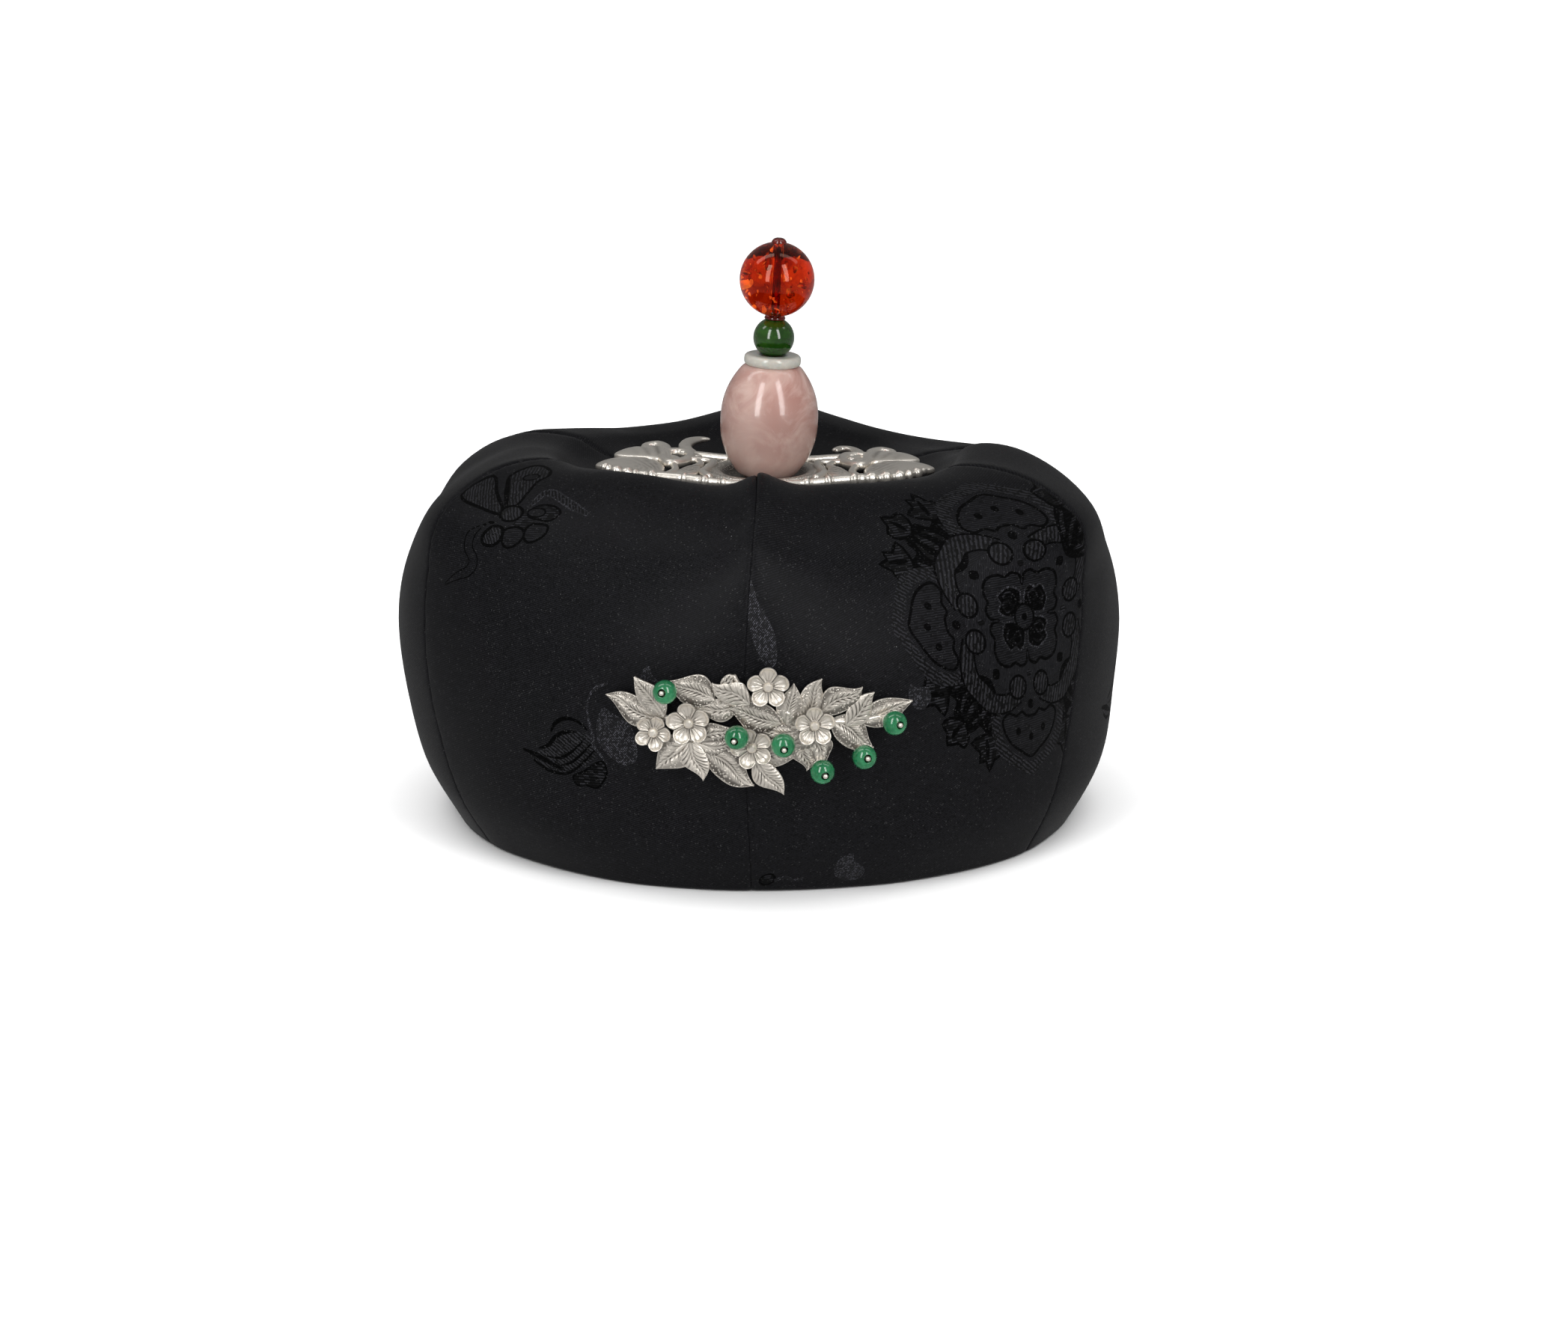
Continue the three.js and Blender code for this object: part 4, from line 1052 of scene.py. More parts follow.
def stone_material(name, dark, light, roughness, scale):
    """A polished stone or glass, its colour clouded between two tones."""
    material, nodes = new_material(
        name, Subsurface_Weight=0.2, Subsurface_Scale=0.0015, Coat_Weight=0.5, Coat_Roughness=0.03,
    )
    place = nodes.object_place()
    clouds = nodes.noise(place, scale, 4, 0.6, 0.5)
    specks = nodes.cells(place, scale * 6)
    tone = nodes.math("ADD", clouds, nodes.mapped(specks, 0, 0.6, 0.08, -0.05))
    nodes.set(
        Base_Color=nodes.blend(nodes.mapped(tone, 0.35, 0.7), dark, light),
        Roughness=nodes.mapped(clouds, 0.3, 0.7, roughness, roughness + 0.08),
        Normal=nodes.bump(tone, 0.01 * MM),
    )
    return material


def amber_material():
    material, nodes = new_material(
        "amber", Transmission_Weight=1.0, IOR=1.54, Specular_Tint=(0.9, 0.45, 0.35, 1),
    )
    clouds = nodes.noise(nodes.object_place(), 240, 4, 0.55, 0.9)
    streaks = nodes.mapped(clouds, 0.35, 0.65)
    nodes.set(
        Base_Color=nodes.blend(streaks, (0.13, 0.0016, 0.0002, 1), (0.47, 0.02, 0.0009, 1)),
        Roughness=nodes.mapped(clouds, 0, 1, 0.0, 0.05),
    )
    return material


def spangle_material():
    """Flakes that glow with painted light in patches of a noise, and are dark elsewhere."""
    material, nodes = new_material(
        "spangle", Metallic=0.4, Specular_IOR_Level=0.8, Emission_Color=(1, 0.8, 0.4, 1),
    )
    place = nodes.object_place()
    ripple = nodes.noise(place, 900, 3)
    # Painted light: this noise drives the flakes' emission, so that patches of them glow as if they caught
    # the light.
    painted_glow = nodes.noise(place, 420, 2)
    nodes.set(
        Base_Color=nodes.blend(ripple, (0.75, 0.14, 0.01, 1), (1, 0.4, 0.08, 1)),
        Roughness=nodes.mapped(ripple, 0, 1, 0.15, 0.4),
        Emission_Strength=nodes.mapped(painted_glow, 0.48, 0.6, 0.02, 1.2),
        Normal=nodes.bump(ripple, 0.05 * MM),
    )
    return material


SPANGLES = 110
SPANGLE_SIDES = 14
SPANGLE_SIZES = (0.2, 0.75)
# They are drawn in a cube this much smaller than the amber, and kept this far inside its surface,
# clear of its bore, and below a height that differs from one to the next.
SPANGLE_DRAWN, SPANGLE_INSIDE, SPANGLE_BORE = 1.6, 1.7, 1.9
SPANGLE_HEIGHTS = (-3, 5)


def build_spangles():
    """The sun spangles in the amber: thin discs of many sizes, most of them in its lower half."""
    random = np.random.default_rng(SEED)
    casting = Casting()
    angle = np.linspace(0, 2 * np.pi, SPANGLE_SIDES, endpoint=False)
    while len(casting.shells) < SPANGLES:
        spot = random.uniform(-1, 1, 3) * (AMBER_RADIUS - SPANGLE_DRAWN)
        inside = np.linalg.norm(spot) <= AMBER_RADIUS - SPANGLE_INSIDE
        clear = math.hypot(spot[0], spot[1]) >= SPANGLE_BORE
        if not inside or not clear or spot[2] > random.uniform(*SPANGLE_HEIGHTS):
            continue
        size = random.uniform(*SPANGLE_SIZES) ** 1.3
        ragged = size * (1 + 0.16 * np.sin(3 * angle + 6 * size) + 0.06 * np.sin(5 * angle))
        turn = Euler(random.uniform(0, math.pi, 3)).to_matrix()
        rim = np.stack([ragged * np.cos(angle), 0.7 * ragged * np.sin(angle), 0 * angle], -1)
        disc = np.concatenate([[(0, 0, 0.12 * size)], rim, [(0, 0, -0.02)]])
        disc = disc @ np.array(turn).T + spot + (0, 0, AMBER_MIDDLE)
        faces = []
        for side in range(SPANGLE_SIDES):
            a, b = 1 + side, 1 + (side + 1) % SPANGLE_SIDES
            faces += [(0, a, b), (SPANGLE_SIDES + 1, b, a)]
        casting.add(disc, faces)
    return casting.build("amber_spangles", stack_place)


def build_stack():
    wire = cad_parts["stack_wire"]
    wire.data.materials.clear()
    wire.data.materials.append(steel_material())
    green = stone_material("green_jade", (0.009, 0.04, 0.003, 1), (0.024, 0.085, 0.008, 1), 0.1, 130)
    white = stone_material("white_jade", (0.45, 0.435, 0.385, 1), (0.57, 0.555, 0.5, 1), 0.2, 220)
    red = stone_material("red_bead", (0.05, 0.003, 0.002, 1), (0.14, 0.01, 0.005, 1), 0.1, 300)
    ring = ring_profile(RING_RADIUS, RING_HEIGHT, RING_BORE, RING_FOOT)
    amber = bead_profile(AMBER_RADIUS, BEAD_BORE, AMBER_MIDDLE, steps=64)
    table = [
        ("barrel_bead", "rose_quartz", quartz_material(), barrel_profile(), 128),
        ("ring_bead", "white_jade", white, ring, 96),
        ("green_bead", "green_jade", green, bead_profile(GREEN_RADIUS, BEAD_BORE, GREEN_MIDDLE), 96),
        ("spacer_bead", "red_bead", red, rounded(SPACER, 0.2), 64),
        ("amber_bead", "amber", amber_material(), amber, 128),
        ("tip_bead", "red_bead", red, rounded(TIP, 0.25), 48),
    ]
    for node, slot, material, profile, sides in table:
        points, faces = turned(profile, sides)
        piece = mesh_object(f"{node}_stone", stack_place(points), faces)
        piece.data.materials.append(material)
        finish_piece(piece, slot, node)
    spangles = build_spangles()
    spangles.data.materials.append(spangle_material())
    finish_piece(spangles, "amber", "amber_bead")


def finish_piece(piece, slot, *nodes):
    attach(piece, ROOT)
    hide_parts(*nodes)


def steel_material():
    material, nodes = new_material("steel_wire", Metallic=1.0)
    drawn = nodes.noise(nodes.scaled(nodes.object_place(), (1, 1, 0.1)), 2500, 2)
    nodes.set(
        Base_Color=nodes.blend(drawn, grey(0.6), grey(0.85)),
        Roughness=nodes.mapped(drawn, 0, 1, 0.25, 0.45),
        Normal=nodes.bump(drawn, 0.02 * MM),
    )
    return material


# From which height of a wave an engraved line starts, and how far apart the cast grains are.
LINE_WIDTH = (0.62, 1)
BEAD_PITCH = 0.6


def silver_material(name, bright, shade_and_tarnish, rough, grain):
    """Cast silver: bright on the high places, greyed by painted shade in its hollows, under its pieces, in
    its engraved lines and between its grains, with stains of tarnish; engraved and beaded by its chart.
    """
    material, nodes = new_material(name, Metallic=0.8, Specular_IOR_Level=0.5)
    place = nodes.object_place()
    # Each point's painted shade: dark in hollows, under the pieces and in the gaps between them.
    depth = nodes.attribute("hollow", output=2)
    chart = nodes.attribute("chart")
    engraved = nodes.part(chart, 1)
    beaded = nodes.part(chart, 2)
    lines = nodes.mapped(nodes.stripes(chart, -90, 1), *LINE_WIDTH)
    worn = nodes.mapped(nodes.noise(place, 420, 2), 0.38, 0.62, 0.2, 1)
    lines = nodes.math("MULTIPLY", nodes.math("MULTIPLY", lines, engraved), worn)
    beads = nodes.mapped(nodes.cells(place, 1 / (BEAD_PITCH * MM)), 0.22, 0.46, 0, 1)
    between_beads = nodes.math("MULTIPLY", beads, beaded)
    cut = nodes.math("MAXIMUM", lines, between_beads)
    stain = nodes.noise(place, 260, 4, 0.6)
    sand = nodes.noise(place, 3600, 2)
    pits = nodes.cells(place, 1900)
    # Painted shade: the colour darkens in the hollows, in the engraved lines and between the grains; the
    # stain noise adds tarnish.
    tarnish_and_painted_shade = nodes.math("ADD", nodes.math("MULTIPLY", depth, 0.75), nodes.mapped(stain, 0.5, 0.85, 0, 0.25))
    tarnish_and_painted_shade = nodes.math("ADD", tarnish_and_painted_shade, nodes.math("MULTIPLY", cut, 0.7))
    relief = nodes.math("ADD", nodes.math("MULTIPLY", sand, 0.6), nodes.math("MULTIPLY", pits, 0.5))
    fine = nodes.bump(relief, grain * MM)
    nodes.set(
        Base_Color=nodes.blend(nodes.mapped(tarnish_and_painted_shade, 0, 1), bright, shade_and_tarnish),
        Roughness=nodes.mapped(nodes.math("ADD", depth, stain), 0.3, 1.4, rough, rough + 0.16),
        Normal=nodes.bump(cut, -0.2 * MM, normal=fine),
    )
    return material


# The flower spray, laid out flat as (u, v, w) and bent round the front seam

SPRAY_X, SPRAY_Z = 0.9, 38.4
# The spray's own radius, and how far in front of the cap's axis it stands.
SPRAY_BEND, SPRAY_STAND_OFF = 88, 79
Leaf = namedtuple("Leaf", "base tip width layer beaded")
LEAVES = [
    Leaf((-19.6, 1.4), (-30.9, 6), 4.4, 0.4, 1),
    Leaf((-18.6, 2.4), (-24.6, 10.4), 3.9, 0.9, 0.4),
    Leaf((-8.6, 6.2), (-17.6, 9.8), 5.2, 0.4, 1),
    Leaf((-3.6, 5), (-13.4, 3.6), 3.6, 0, 0.7),
    Leaf((-1.7, 5.4), (-9.1, 9.9), 3.9, 0.9, 0),
    Leaf((4.6, 1.2), (-6, 4.6), 5, 0.4, 1),
    Leaf((5.6, 1), (7, 9.6), 3.8, 0.4, 0.6),
    Leaf((8.4, 1.2), (12.6, 10.4), 4.4, 0, 0.5),
    Leaf((12.2, 3.4), (20.7, 8.4), 4.4, 0.4, 1),
    Leaf((17.5, 0.4), (23.2, 7.1), 3.7, 0.4, 0),
    Leaf((20.2, 1), (31.2, 4.7), 4.2, 0, 1),
    Leaf((14.6, 1.8), (23.1, -4.4), 5, 0, 0.9),
    Leaf((8.9, -2), (9.6, -8.6), 3.6, 0.2, 0.7),
    Leaf((10.8, -1.8), (13.4, -7.6), 4.2, 0, 1),
    Leaf((-1.6, -5.6), (9, -4.4), 4, 0, 0.6),
    Leaf((-0.9, -6), (5, -13.4), 3.8, 0.4, 0),
    Leaf((-10.6, -4.4), (-0.9, -11.4), 5.2, 0.2, 1),
    Leaf((-13.6, -2.6), (-10.9, -10.5), 3.9, 0.4, 0),
    Leaf((-13, -1.8), (-20.6, -8.8), 5.4, 0, 0.6),
    Leaf((-12.8, -2.4), (-4.6, 0.5), 3.4, 0.2, 1),
    Leaf((-12.6, -3), (-3.6, -3.8), 3.2, 0.1, 1),
    Leaf((8.4, -0.4), (-0.6, -0.4), 3.8, 0.1, 1),
    Leaf((-7.4, 9.4), (-4.6, 11.6), 1.7, 1, 0),
    Leaf((7.6, 0.6), (3.6, 4.4), 2.6, 0.1, 0),
    Leaf((6, -3.4), (11.4, -1.6), 3.4, 0.2, 0.8),
]
# Every leaf is this much wider than its row says, and has this thickness, fullness and blunt end.
LEAF_WIDER = 1.28
LEAF_THICKNESS = 0.55
LEAF_FULLNESS = 0.85
LEAF_BLUNT = 0.12
LEAF_ROWS, LEAF_COLUMNS = 52, 21
VEIN_PITCH = 0.95
Flower = namedtuple("Flower", "u v radius turn")
FLOWERS = [
    Flower(-20.8, -0.9, 3.7, 48),
    Flower(-13.7, 1.4, 4.4, 8),
    Flower(1.9, 9.2, 4.2, 0),
    Flower(11, 1, 4.1, 1),
    Flower(-1.3, -3.4, 4.2, 17),
]
PETALS = 5
PETAL_ROWS, PETAL_COLUMNS = 20, 21
# Of the flower's radius: where a petal starts, and its round end's radius. Degrees from crease to crease.
PETAL_FOOT, PETAL_END = 0.14, 0.42
PETAL_CREASE = 17
FLOWER_LIFT = 1.15
BOSS_RADIUS = 1
Drop = namedtuple("Drop", "u v tilt_u tilt_v")
DROPS = [
    Drop(-17.8, 8.4, -4, 8),
    Drop(-4.1, -0.5, -10, -6),
    Drop(4.7, -2.1, 2, -10),
    Drop(12.2, -7.8, 6, -8),
    Drop(20.3, -5.2, 4, 6),
    Drop(26.3, 1.4, 10, 2),
]
DROP_RADIUS, DROP_BORE, DROP_MIDDLE = 2.45, 0.85, 4.5
POST_RADIUS, POST_ROOT, POST_TOP = 0.46, 0.4, 2.5
# The small cup under each green bead: (radius, height) from the bead's middle.
DROP_CUP = [(0.6, -3.5), (1, -3.5), (1.7, -2.15), (1.3, -2.05)]
STEM_LIFT = 0.3
STEM_RADII = (0.65, 0.5)
STEMS = [
    [(-27, 4.4), (-19.6, 2.2), (-14, 0.6), (-7, -1), (0, 0.2), (7, 0.4), (14.6, 1.2), (20.2, 1.2),
     (26.3, 2.1)],
    [(-16.6, -5), (-13.4, -3), (-8, -4.6), (-1, -6.4), (3.4, -5.6), (8, -3.2), (11, -1.4)],
    [(-19.9, 2.4), (-19.4, 6), (-17.8, 8.4)],
    [(-14, 1), (-10.4, 6.4), (-5.4, 8.2), (-1.7, 6), (1.7, 8.4)],
    [(-5, 11), (-3.6, 8.6), (-1.7, 6), (-1, 0.4)],
    [(-13.8, 0.8), (-13.4, -3.4)],
    [(14.6, 1.2), (17.8, -1.6), (20.2, -5.4)],
    [(9.6, -2.2), (11.6, -6), (12.1, -7.8)],
]


def bent(points):
    """Flat spray places (u, v, w) on the bent spray, in the row frame."""
    u, v, w = np.asarray(points, float).T
    angle = u / SPRAY_BEND
    reach = SPRAY_BEND + w
    forward = reach * np.cos(angle) - SPRAY_BEND + SPRAY_STAND_OFF
    x = CAP_AXIS[0] + SPRAY_X + reach * np.sin(angle)
    return np.stack([x, CAP_AXIS[1] - forward, SPRAY_Z + v], -1)


def laid(points, base, heading):
    """Flat points along +X, turned and moved to their place (u, v, w) in the spray."""
    cos, sin = math.cos(heading), math.sin(heading)
    u = base[0] + points[:, 0] * cos - points[:, 1] * sin
    v = base[1] + points[:, 0] * sin + points[:, 1] * cos
    return np.stack([u, v, points[:, 2]], -1)


def leaf_shell(leaf, index):
    """A cast leaf: a raised midrib between two cuts, slanting veins, a thin rim and a gentle curl."""
    run, rise = leaf.tip[0] - leaf.base[0], leaf.tip[1] - leaf.base[1]
    length, heading = math.hypot(run, rise), math.atan2(rise, run)
    s, t = np.meshgrid(np.linspace(0, 1, LEAF_ROWS), np.linspace(-1, 1, LEAF_COLUMNS), indexing="ij")
    s, t = s.ravel(), t.ravel()
    belly = np.sin(np.pi * s**LEAF_FULLNESS) ** 0.9 * (1.06 - 0.3 * s**3)
    half = np.maximum(leaf.width * LEAF_WIDER / 2 * belly, LEAF_BLUNT)
    sweep = 0.55 * math.sin(2.4 * index + 1)
    pitch = VEIN_PITCH * (1 + 0.25 * math.sin(5 * index))
    x, y = s * length, t * half + sweep * np.sin(2 * np.pi * s**1.4)
    inner = np.abs(t) * half
    margin = (1 - np.abs(t)) * half
    full = np.sin(np.pi * np.clip(s, 0, 1)) ** 0.6
    midrib = np.exp(-((inner / 0.16) ** 2)) * full
    beside = np.exp(-(((inner - 0.34) / 0.13) ** 2)) * full
    phase = (x - 1.5 * inner + 0.25 * inner**2) / pitch
    swell = np.cos(2 * np.pi * phase) * np.clip(margin / 0.5, 0, 1) * np.clip(inner / 0.4, 0, 1) * full
    rim = np.exp(-((margin / 0.2) ** 2)) * full
    dome = 0.34 * (1 - (2 * np.abs(t) - 0.9) ** 2) * full
    curl = (0.5 * s**2 if index % 3 else 0.15 * s) + 0.14 * math.sin(index) * t
    top = leaf.layer + LEAF_THICKNESS + dome + curl + 0.1 * midrib - 0.12 * beside + 0.02 * swell + 0.08 * rim
    bottom = leaf.layer + curl
    points, faces = slab(np.stack([x, y, top], -1), np.stack([x, y, bottom], -1), LEAF_ROWS, LEAF_COLUMNS)
    edge = np.clip(np.abs(t) * 3 - 0.9, 0, 1) * leaf.beaded
    engraved = np.clip(margin / 0.35, 0, 1) * np.clip(inner / 0.25, 0, 1) * (1 - 0.8 * edge) * full
    chart = np.stack([phase, engraved, edge * np.clip(margin / 0.2, 0, 1)], -1)
    # Painted shade: dark in the cuts beside the midrib, slightly dark everywhere but the raised rim, and dark
    # on the leaf's underside.
    hollow = np.clip(0.9 * beside + 0.15 * (1 - rim), 0, 1)
    hollow, chart = np.concatenate([hollow, hollow * 0 + 0.6]), np.concatenate([chart, chart * 0])
    return laid(points, leaf.base, heading), faces, hollow, True, chart


def petal_shell(flower, petal):
    """A cupped petal with a thick rim and creases that fan out from its foot."""
    radius = flower.radius
    heading = math.radians(90 + flower.turn + 360 / PETALS * petal)
    a, t = np.meshgrid(np.linspace(0, 1, PETAL_ROWS), np.linspace(-1, 1, PETAL_COLUMNS), indexing="ij")
    reach = PETAL_FOOT + (1 - PETAL_FOOT) * np.sin(np.pi / 2 * a.ravel())
    t = t.ravel()
    wedge = 0.96 * math.tan(math.pi / PETALS) * reach
    end = np.sqrt(np.maximum(PETAL_END**2 - (reach - 1 + PETAL_END) ** 2, 0.0004))
    half = np.where(reach < 1 - PETAL_END, wedge, np.minimum(wedge, end)) * radius
    x, y = reach * radius, t * half
    margin = np.minimum((1 - np.abs(t)) * half, (1 - reach) * radius)
    rim = np.exp(-(((margin - 0.2) / 0.2) ** 2))
    gutter = np.exp(-(((margin - 0.62) / 0.16) ** 2))
    dish = np.clip(margin / 1.1, 0, 1) ** 0.7
    spread = np.arctan2(y, x)
    phase = spread / math.radians(PETAL_CREASE)
    creased = np.clip(1.4 - 1.25 * reach, 0, 1) * np.clip((reach - PETAL_FOOT) * 8, 0, 1)
    rise = 1.15 * reach**2 - 0.5 * dish * reach
    layer = 0.06 * (petal % 2)
    top = FLOWER_LIFT + 0.55 + rise + 0.26 * rim + 0.06 * creased * np.cos(2 * np.pi * phase) + layer
    bottom = top - 0.5 - 0.1 * rim
    points, faces = slab(np.stack([x, y, top], -1), np.stack([x, y, bottom], -1), PETAL_ROWS, PETAL_COLUMNS)
    # Painted shade: darker towards the flower's middle, along the petal's edges where it meets its
    # neighbours, in the gutter inside the rim, and on the petal's underside.
    hollow = np.clip(0.6 * (1 - reach) ** 2 + 0.7 * np.clip(1 - margin / 0.12, 0, 1) + 0.3 * gutter, 0, 1)
    chart = np.stack([phase + 0.5, 0.6 * creased, 0 * phase], -1)
    hollow, chart = np.concatenate([hollow, hollow * 0 + 0.7]), np.concatenate([chart, chart * 0])
    return laid(points, (flower.u, flower.v), heading), faces, hollow, True, chart


def drop_turn(drop):
    return np.array(Euler((math.radians(-drop.tilt_v), math.radians(drop.tilt_u), 0), "XYZ").to_matrix())


def build_spray():
    casting = Casting()
    for index, leaf in enumerate(LEAVES):
        casting.add(*leaf_shell(leaf, index))
    for flower in FLOWERS:
        for petal in range(PETALS):
            casting.add(*petal_shell(flower, petal))
        casting.add(*ball((flower.u, flower.v, FLOWER_LIFT + 0.9), BOSS_RADIUS, 5, 9), smooth=False)
        # Painted shade: a flat dark disc under the petals shows as a dark ring round the boss.
        base = ball((flower.u, flower.v, FLOWER_LIFT + 0.3), 1.5, 5, 20, 0.5)
        casting.add(*base, hollow=np.full(len(base[0]), 0.9))
    for stem in STEMS:
        casting.add(*tube([(u, v, STEM_LIFT) for u, v in stem], STEM_RADII, 12))
    for drop in DROPS:
        turn = drop_turn(drop)
        spot = np.array([drop.u, drop.v, DROP_MIDDLE])
        root = POST_ROOT - DROP_MIDDLE
        pin = tube([(0, 0, root), (0, 0, 0), (0, 0, POST_TOP)], [POST_RADIUS, POST_RADIUS], 16)
        cup = turned(rounded(DROP_CUP, 0.12), 24)
        for points, faces in (pin, cup):
            casting.add(points @ turn.T + spot, faces)
    piece = casting.build("spray_silver", bent)
    piece.data.materials.append(
        silver_material("spray_silver", (0.86, 0.8, 0.715, 1), (0.07, 0.06, 0.05, 1), 0.36, 0.05)
    )
    finish_piece(piece, "silver", "flower_spray")
    glass = stone_material("green_glass", (0.006, 0.1, 0.036, 1), (0.03, 0.2, 0.085, 1), 0.12, 260)
    for index, drop in enumerate(DROPS):
        spot = np.array([drop.u, drop.v, DROP_MIDDLE])
        out = drop_turn(drop) @ np.array([0, 0, 1.0])
        ends = bent([spot, spot + out])
        axis = Vector(ends[1] - ends[0]).normalized()
        turn = np.array(Vector((0, 0, 1)).rotation_difference(axis).to_matrix())
        points, faces = turned(bead_profile(DROP_RADIUS, DROP_BORE, steps=28), 56)
        node = f"spray_bead_{index + 1}"
        piece = mesh_object(f"{node}_glass", points @ turn.T + ends[0], faces)
        piece.data.materials.append(glass)
        finish_piece(piece, "green_glass", node)


# The butterfly plate, drawn flat for its right wing as (x, y) from its middle, +Y to the back

PLATE_X, PLATE_UNDER, PLATE_TURN = 1.8, 73.3, -2.8
# How fast the wings rise towards their tips, and how fast the right one hangs towards its back.
WING_RISE, RIGHT_WING_DROOP = 0.0001, 0.0018
Pad = namedtuple("Pad", "outline height dome ribs")
# Solid feathers and leaves: their outline, the height of their edge, how far they swell above it and
# how deep their ribs are.
PADS = [
    Pad([(36.6, 0.8), (35.8, 4.4), (33.8, 7), (31, 8.4), (27.4, 8.6), (24.4, 6.6), (22.2, 3), (21.4, -2),
         (22.4, -6.6), (26, -7.6), (29.8, -5.6), (33.6, -1.8)], 0.9, 1.5, 0.2),
    Pad([(33, 8), (32.6, 11), (31, 13.8), (28.4, 15.2), (25.6, 14.2), (23.6, 10.6), (22.8, 5.4), (28, 5.6)],
        1.7, 1.3, 0.2),
    Pad([(27.6, 13), (27.4, 15.8), (25.4, 17), (23, 14.6), (21.4, 9.6), (20.8, 3.6), (23.4, 6)],
        1.9, 1, 0.25),
    Pad([(19, -7.6), (17.6, -3), (15.8, 0.4), (14.2, 0.8), (13.6, -3), (14.4, -7), (16.6, -8.6)],
        1.2, 0.9, 0.12),
]
# Shares of a pad's outline at which its rings lie.
PAD_RINGS = (0.03, 0.15, 0.3, 0.45, 0.6, 0.72, 0.82, 0.9, 0.96, 0.99)
# The ribs fan out from this place of the wing, one in so many degrees.
RIB_ROOT = (20.4, -11)
RIB_TURN = 7
Rod = namedtuple("Rod", "points radii")
# Each point is (x, y, height of the rod's middle).
RODS = [
    Rod([(20.8, 2.4, 1.5), (21.6, 8, 1.6), (22.4, 13.4, 1.6), (22.6, 16.6, 1.6), (24.6, 19.2, 1.6),
         (27, 18.2, 1.5), (26.8, 15.9, 1.5), (24.9, 15.4, 1.5)], (0.9, 1.1, 1.2, 1.2, 1.25, 1.1, 0.9, 0.7)),
    Rod([(22.4, 8, 1.7), (21.9, 11.6, 1.7), (19.2, 12.8, 1.6), (16.9, 11, 1.6), (16.6, 7, 1.6),
         (18, 3.2, 1.6), (20.4, 1.6, 1.6), (22, 4.4, 1.7), (22.4, 8, 1.7)], (1.1, 1.15, 1.1, 1.15)),
    Rod([(20.6, 7, 1.5), (19.2, 5, 1.5), (18.6, 2.8, 1.4)], (0.9, 1)),
    Rod([(18.8, 12.2, 1.5), (15, 10.6, 1.4), (11.6, 9.6, 1.3), (8.2, 9, 1.2)], (1, 1.05, 0.95)),
    Rod([(17, 5.6, 1.5), (14.2, 6, 1.4), (11.8, 5.2, 1.3), (11.2, 3.2, 1.2), (12.2, -1.4, 1.2), (13, -5, 1.2),
         (11.4, -9.6, 1.1)], (0.95, 0.9, 0.85, 0.9)),
    Rod([(15.2, -1.4, 1.4), (13.9, 1.6, 1.4), (14.6, 4.8, 1.4)], (0.7, 0.75, 0.7)),
    Rod([(20.8, -9, 1.1), (19, -4.4, 1.3), (19.6, 0.6, 1.4)], (0.9, 0.8, 0.8)),
]
# The front rim, from its outer end to the middle, and its lumps: (share of its length, swell, width).
RIM = Rod([(34.6, -1.6, 1.3), (32, -4.4, 1.1), (28.6, -6.8, 1), (25.4, -8.1, 1), (21.6, -9.3, 1),
           (17.4, -10.6, 1), (13.6, -12, 0.9), (10, -13.2, 0.85), (6, -13.8, 0.8), (2, -13.8, 0.8),
           (-2, -13.8, 0.8)],
          (0.8, 1, 1.15, 1.2, 1.25, 1.25, 1.2, 1, 0.8, 0.7, 0.7))
LEFT_LUMPS = [(0.025, 0.3, 0.012), (0.06, 0.25, 0.01), (0.115, 0.45, 0.022), (0.185, 0.5, 0.024),
              (0.245, 0.35, 0.013), (0.35, 0.4, 0.014), (0.525, 0.3, 0.007), (0.645, 0.4, 0.012),
              (0.75, 0.25, 0.01)]
RIGHT_LUMPS = [(0.07, 0.35, 0.016), (0.13, 0.3, 0.012), (0.18, 0.45, 0.02), (0.27, 0.45, 0.024),
               (0.355, 0.4, 0.02), (0.448, 0.4, 0.01), (0.585, 0.4, 0.01), (0.71, 0.3, 0.012)]
# The hooks differ: the left one is a fat crescent, and the right one is slimmer and curls back.
LEFT_HOOK = Rod([(-15, 8.6, 1.4), (-16.2, 12, 1.5), (-17.8, 15.6, 1.6), (-18.5, 19, 1.7), (-17.9, 22.4, 1.8),
                 (-16.2, 24.8, 1.9), (-14.6, 25.6, 1.9), (-13.6, 25.7, 1.9)],
                (1, 1.1, 1.3, 1.5, 1.45, 1.1, 0.8, 0.4))
RIGHT_HOOK = Rod([(18.2, 9, 1.4), (20, 12, 1.5), (20.3, 15.4, 1.5), (19.4, 18.6, 1.6), (17.6, 20.6, 1.7),
                  (15.6, 20.6, 1.7), (14.5, 18.8, 1.6)], (1.1, 1.1, 1.05, 1, 1, 0.95, 0.8))
# Round and under the quartz: (radius, height) of the cup and its grooved hoop.
HOOP_TOP = 1.5
HOOP = [(1.4, -1.25), (12.4, -1.25), (13.6, 0.1), (13.6, 0.9), (12.9, HOOP_TOP), (12.2, 1), (11.2, 1.3),
        (9.6, 0.9), (7.8, -0.3), (6.8, -0.65), (1.4, -0.65)]


def plate_place(points):
    x, y, z = np.asarray(points, float).T
    z = z + WING_RISE * x**2 - RIGHT_WING_DROOP * np.maximum(x, 0) * np.maximum(y, 0)
    turn = math.radians(PLATE_TURN)
    across = x * math.cos(turn) - y * math.sin(turn)
    along = x * math.sin(turn) + y * math.cos(turn)
    return np.stack([across + CAP_AXIS[0] + PLATE_X, along + CAP_AXIS[1], z + PLATE_UNDER], -1)


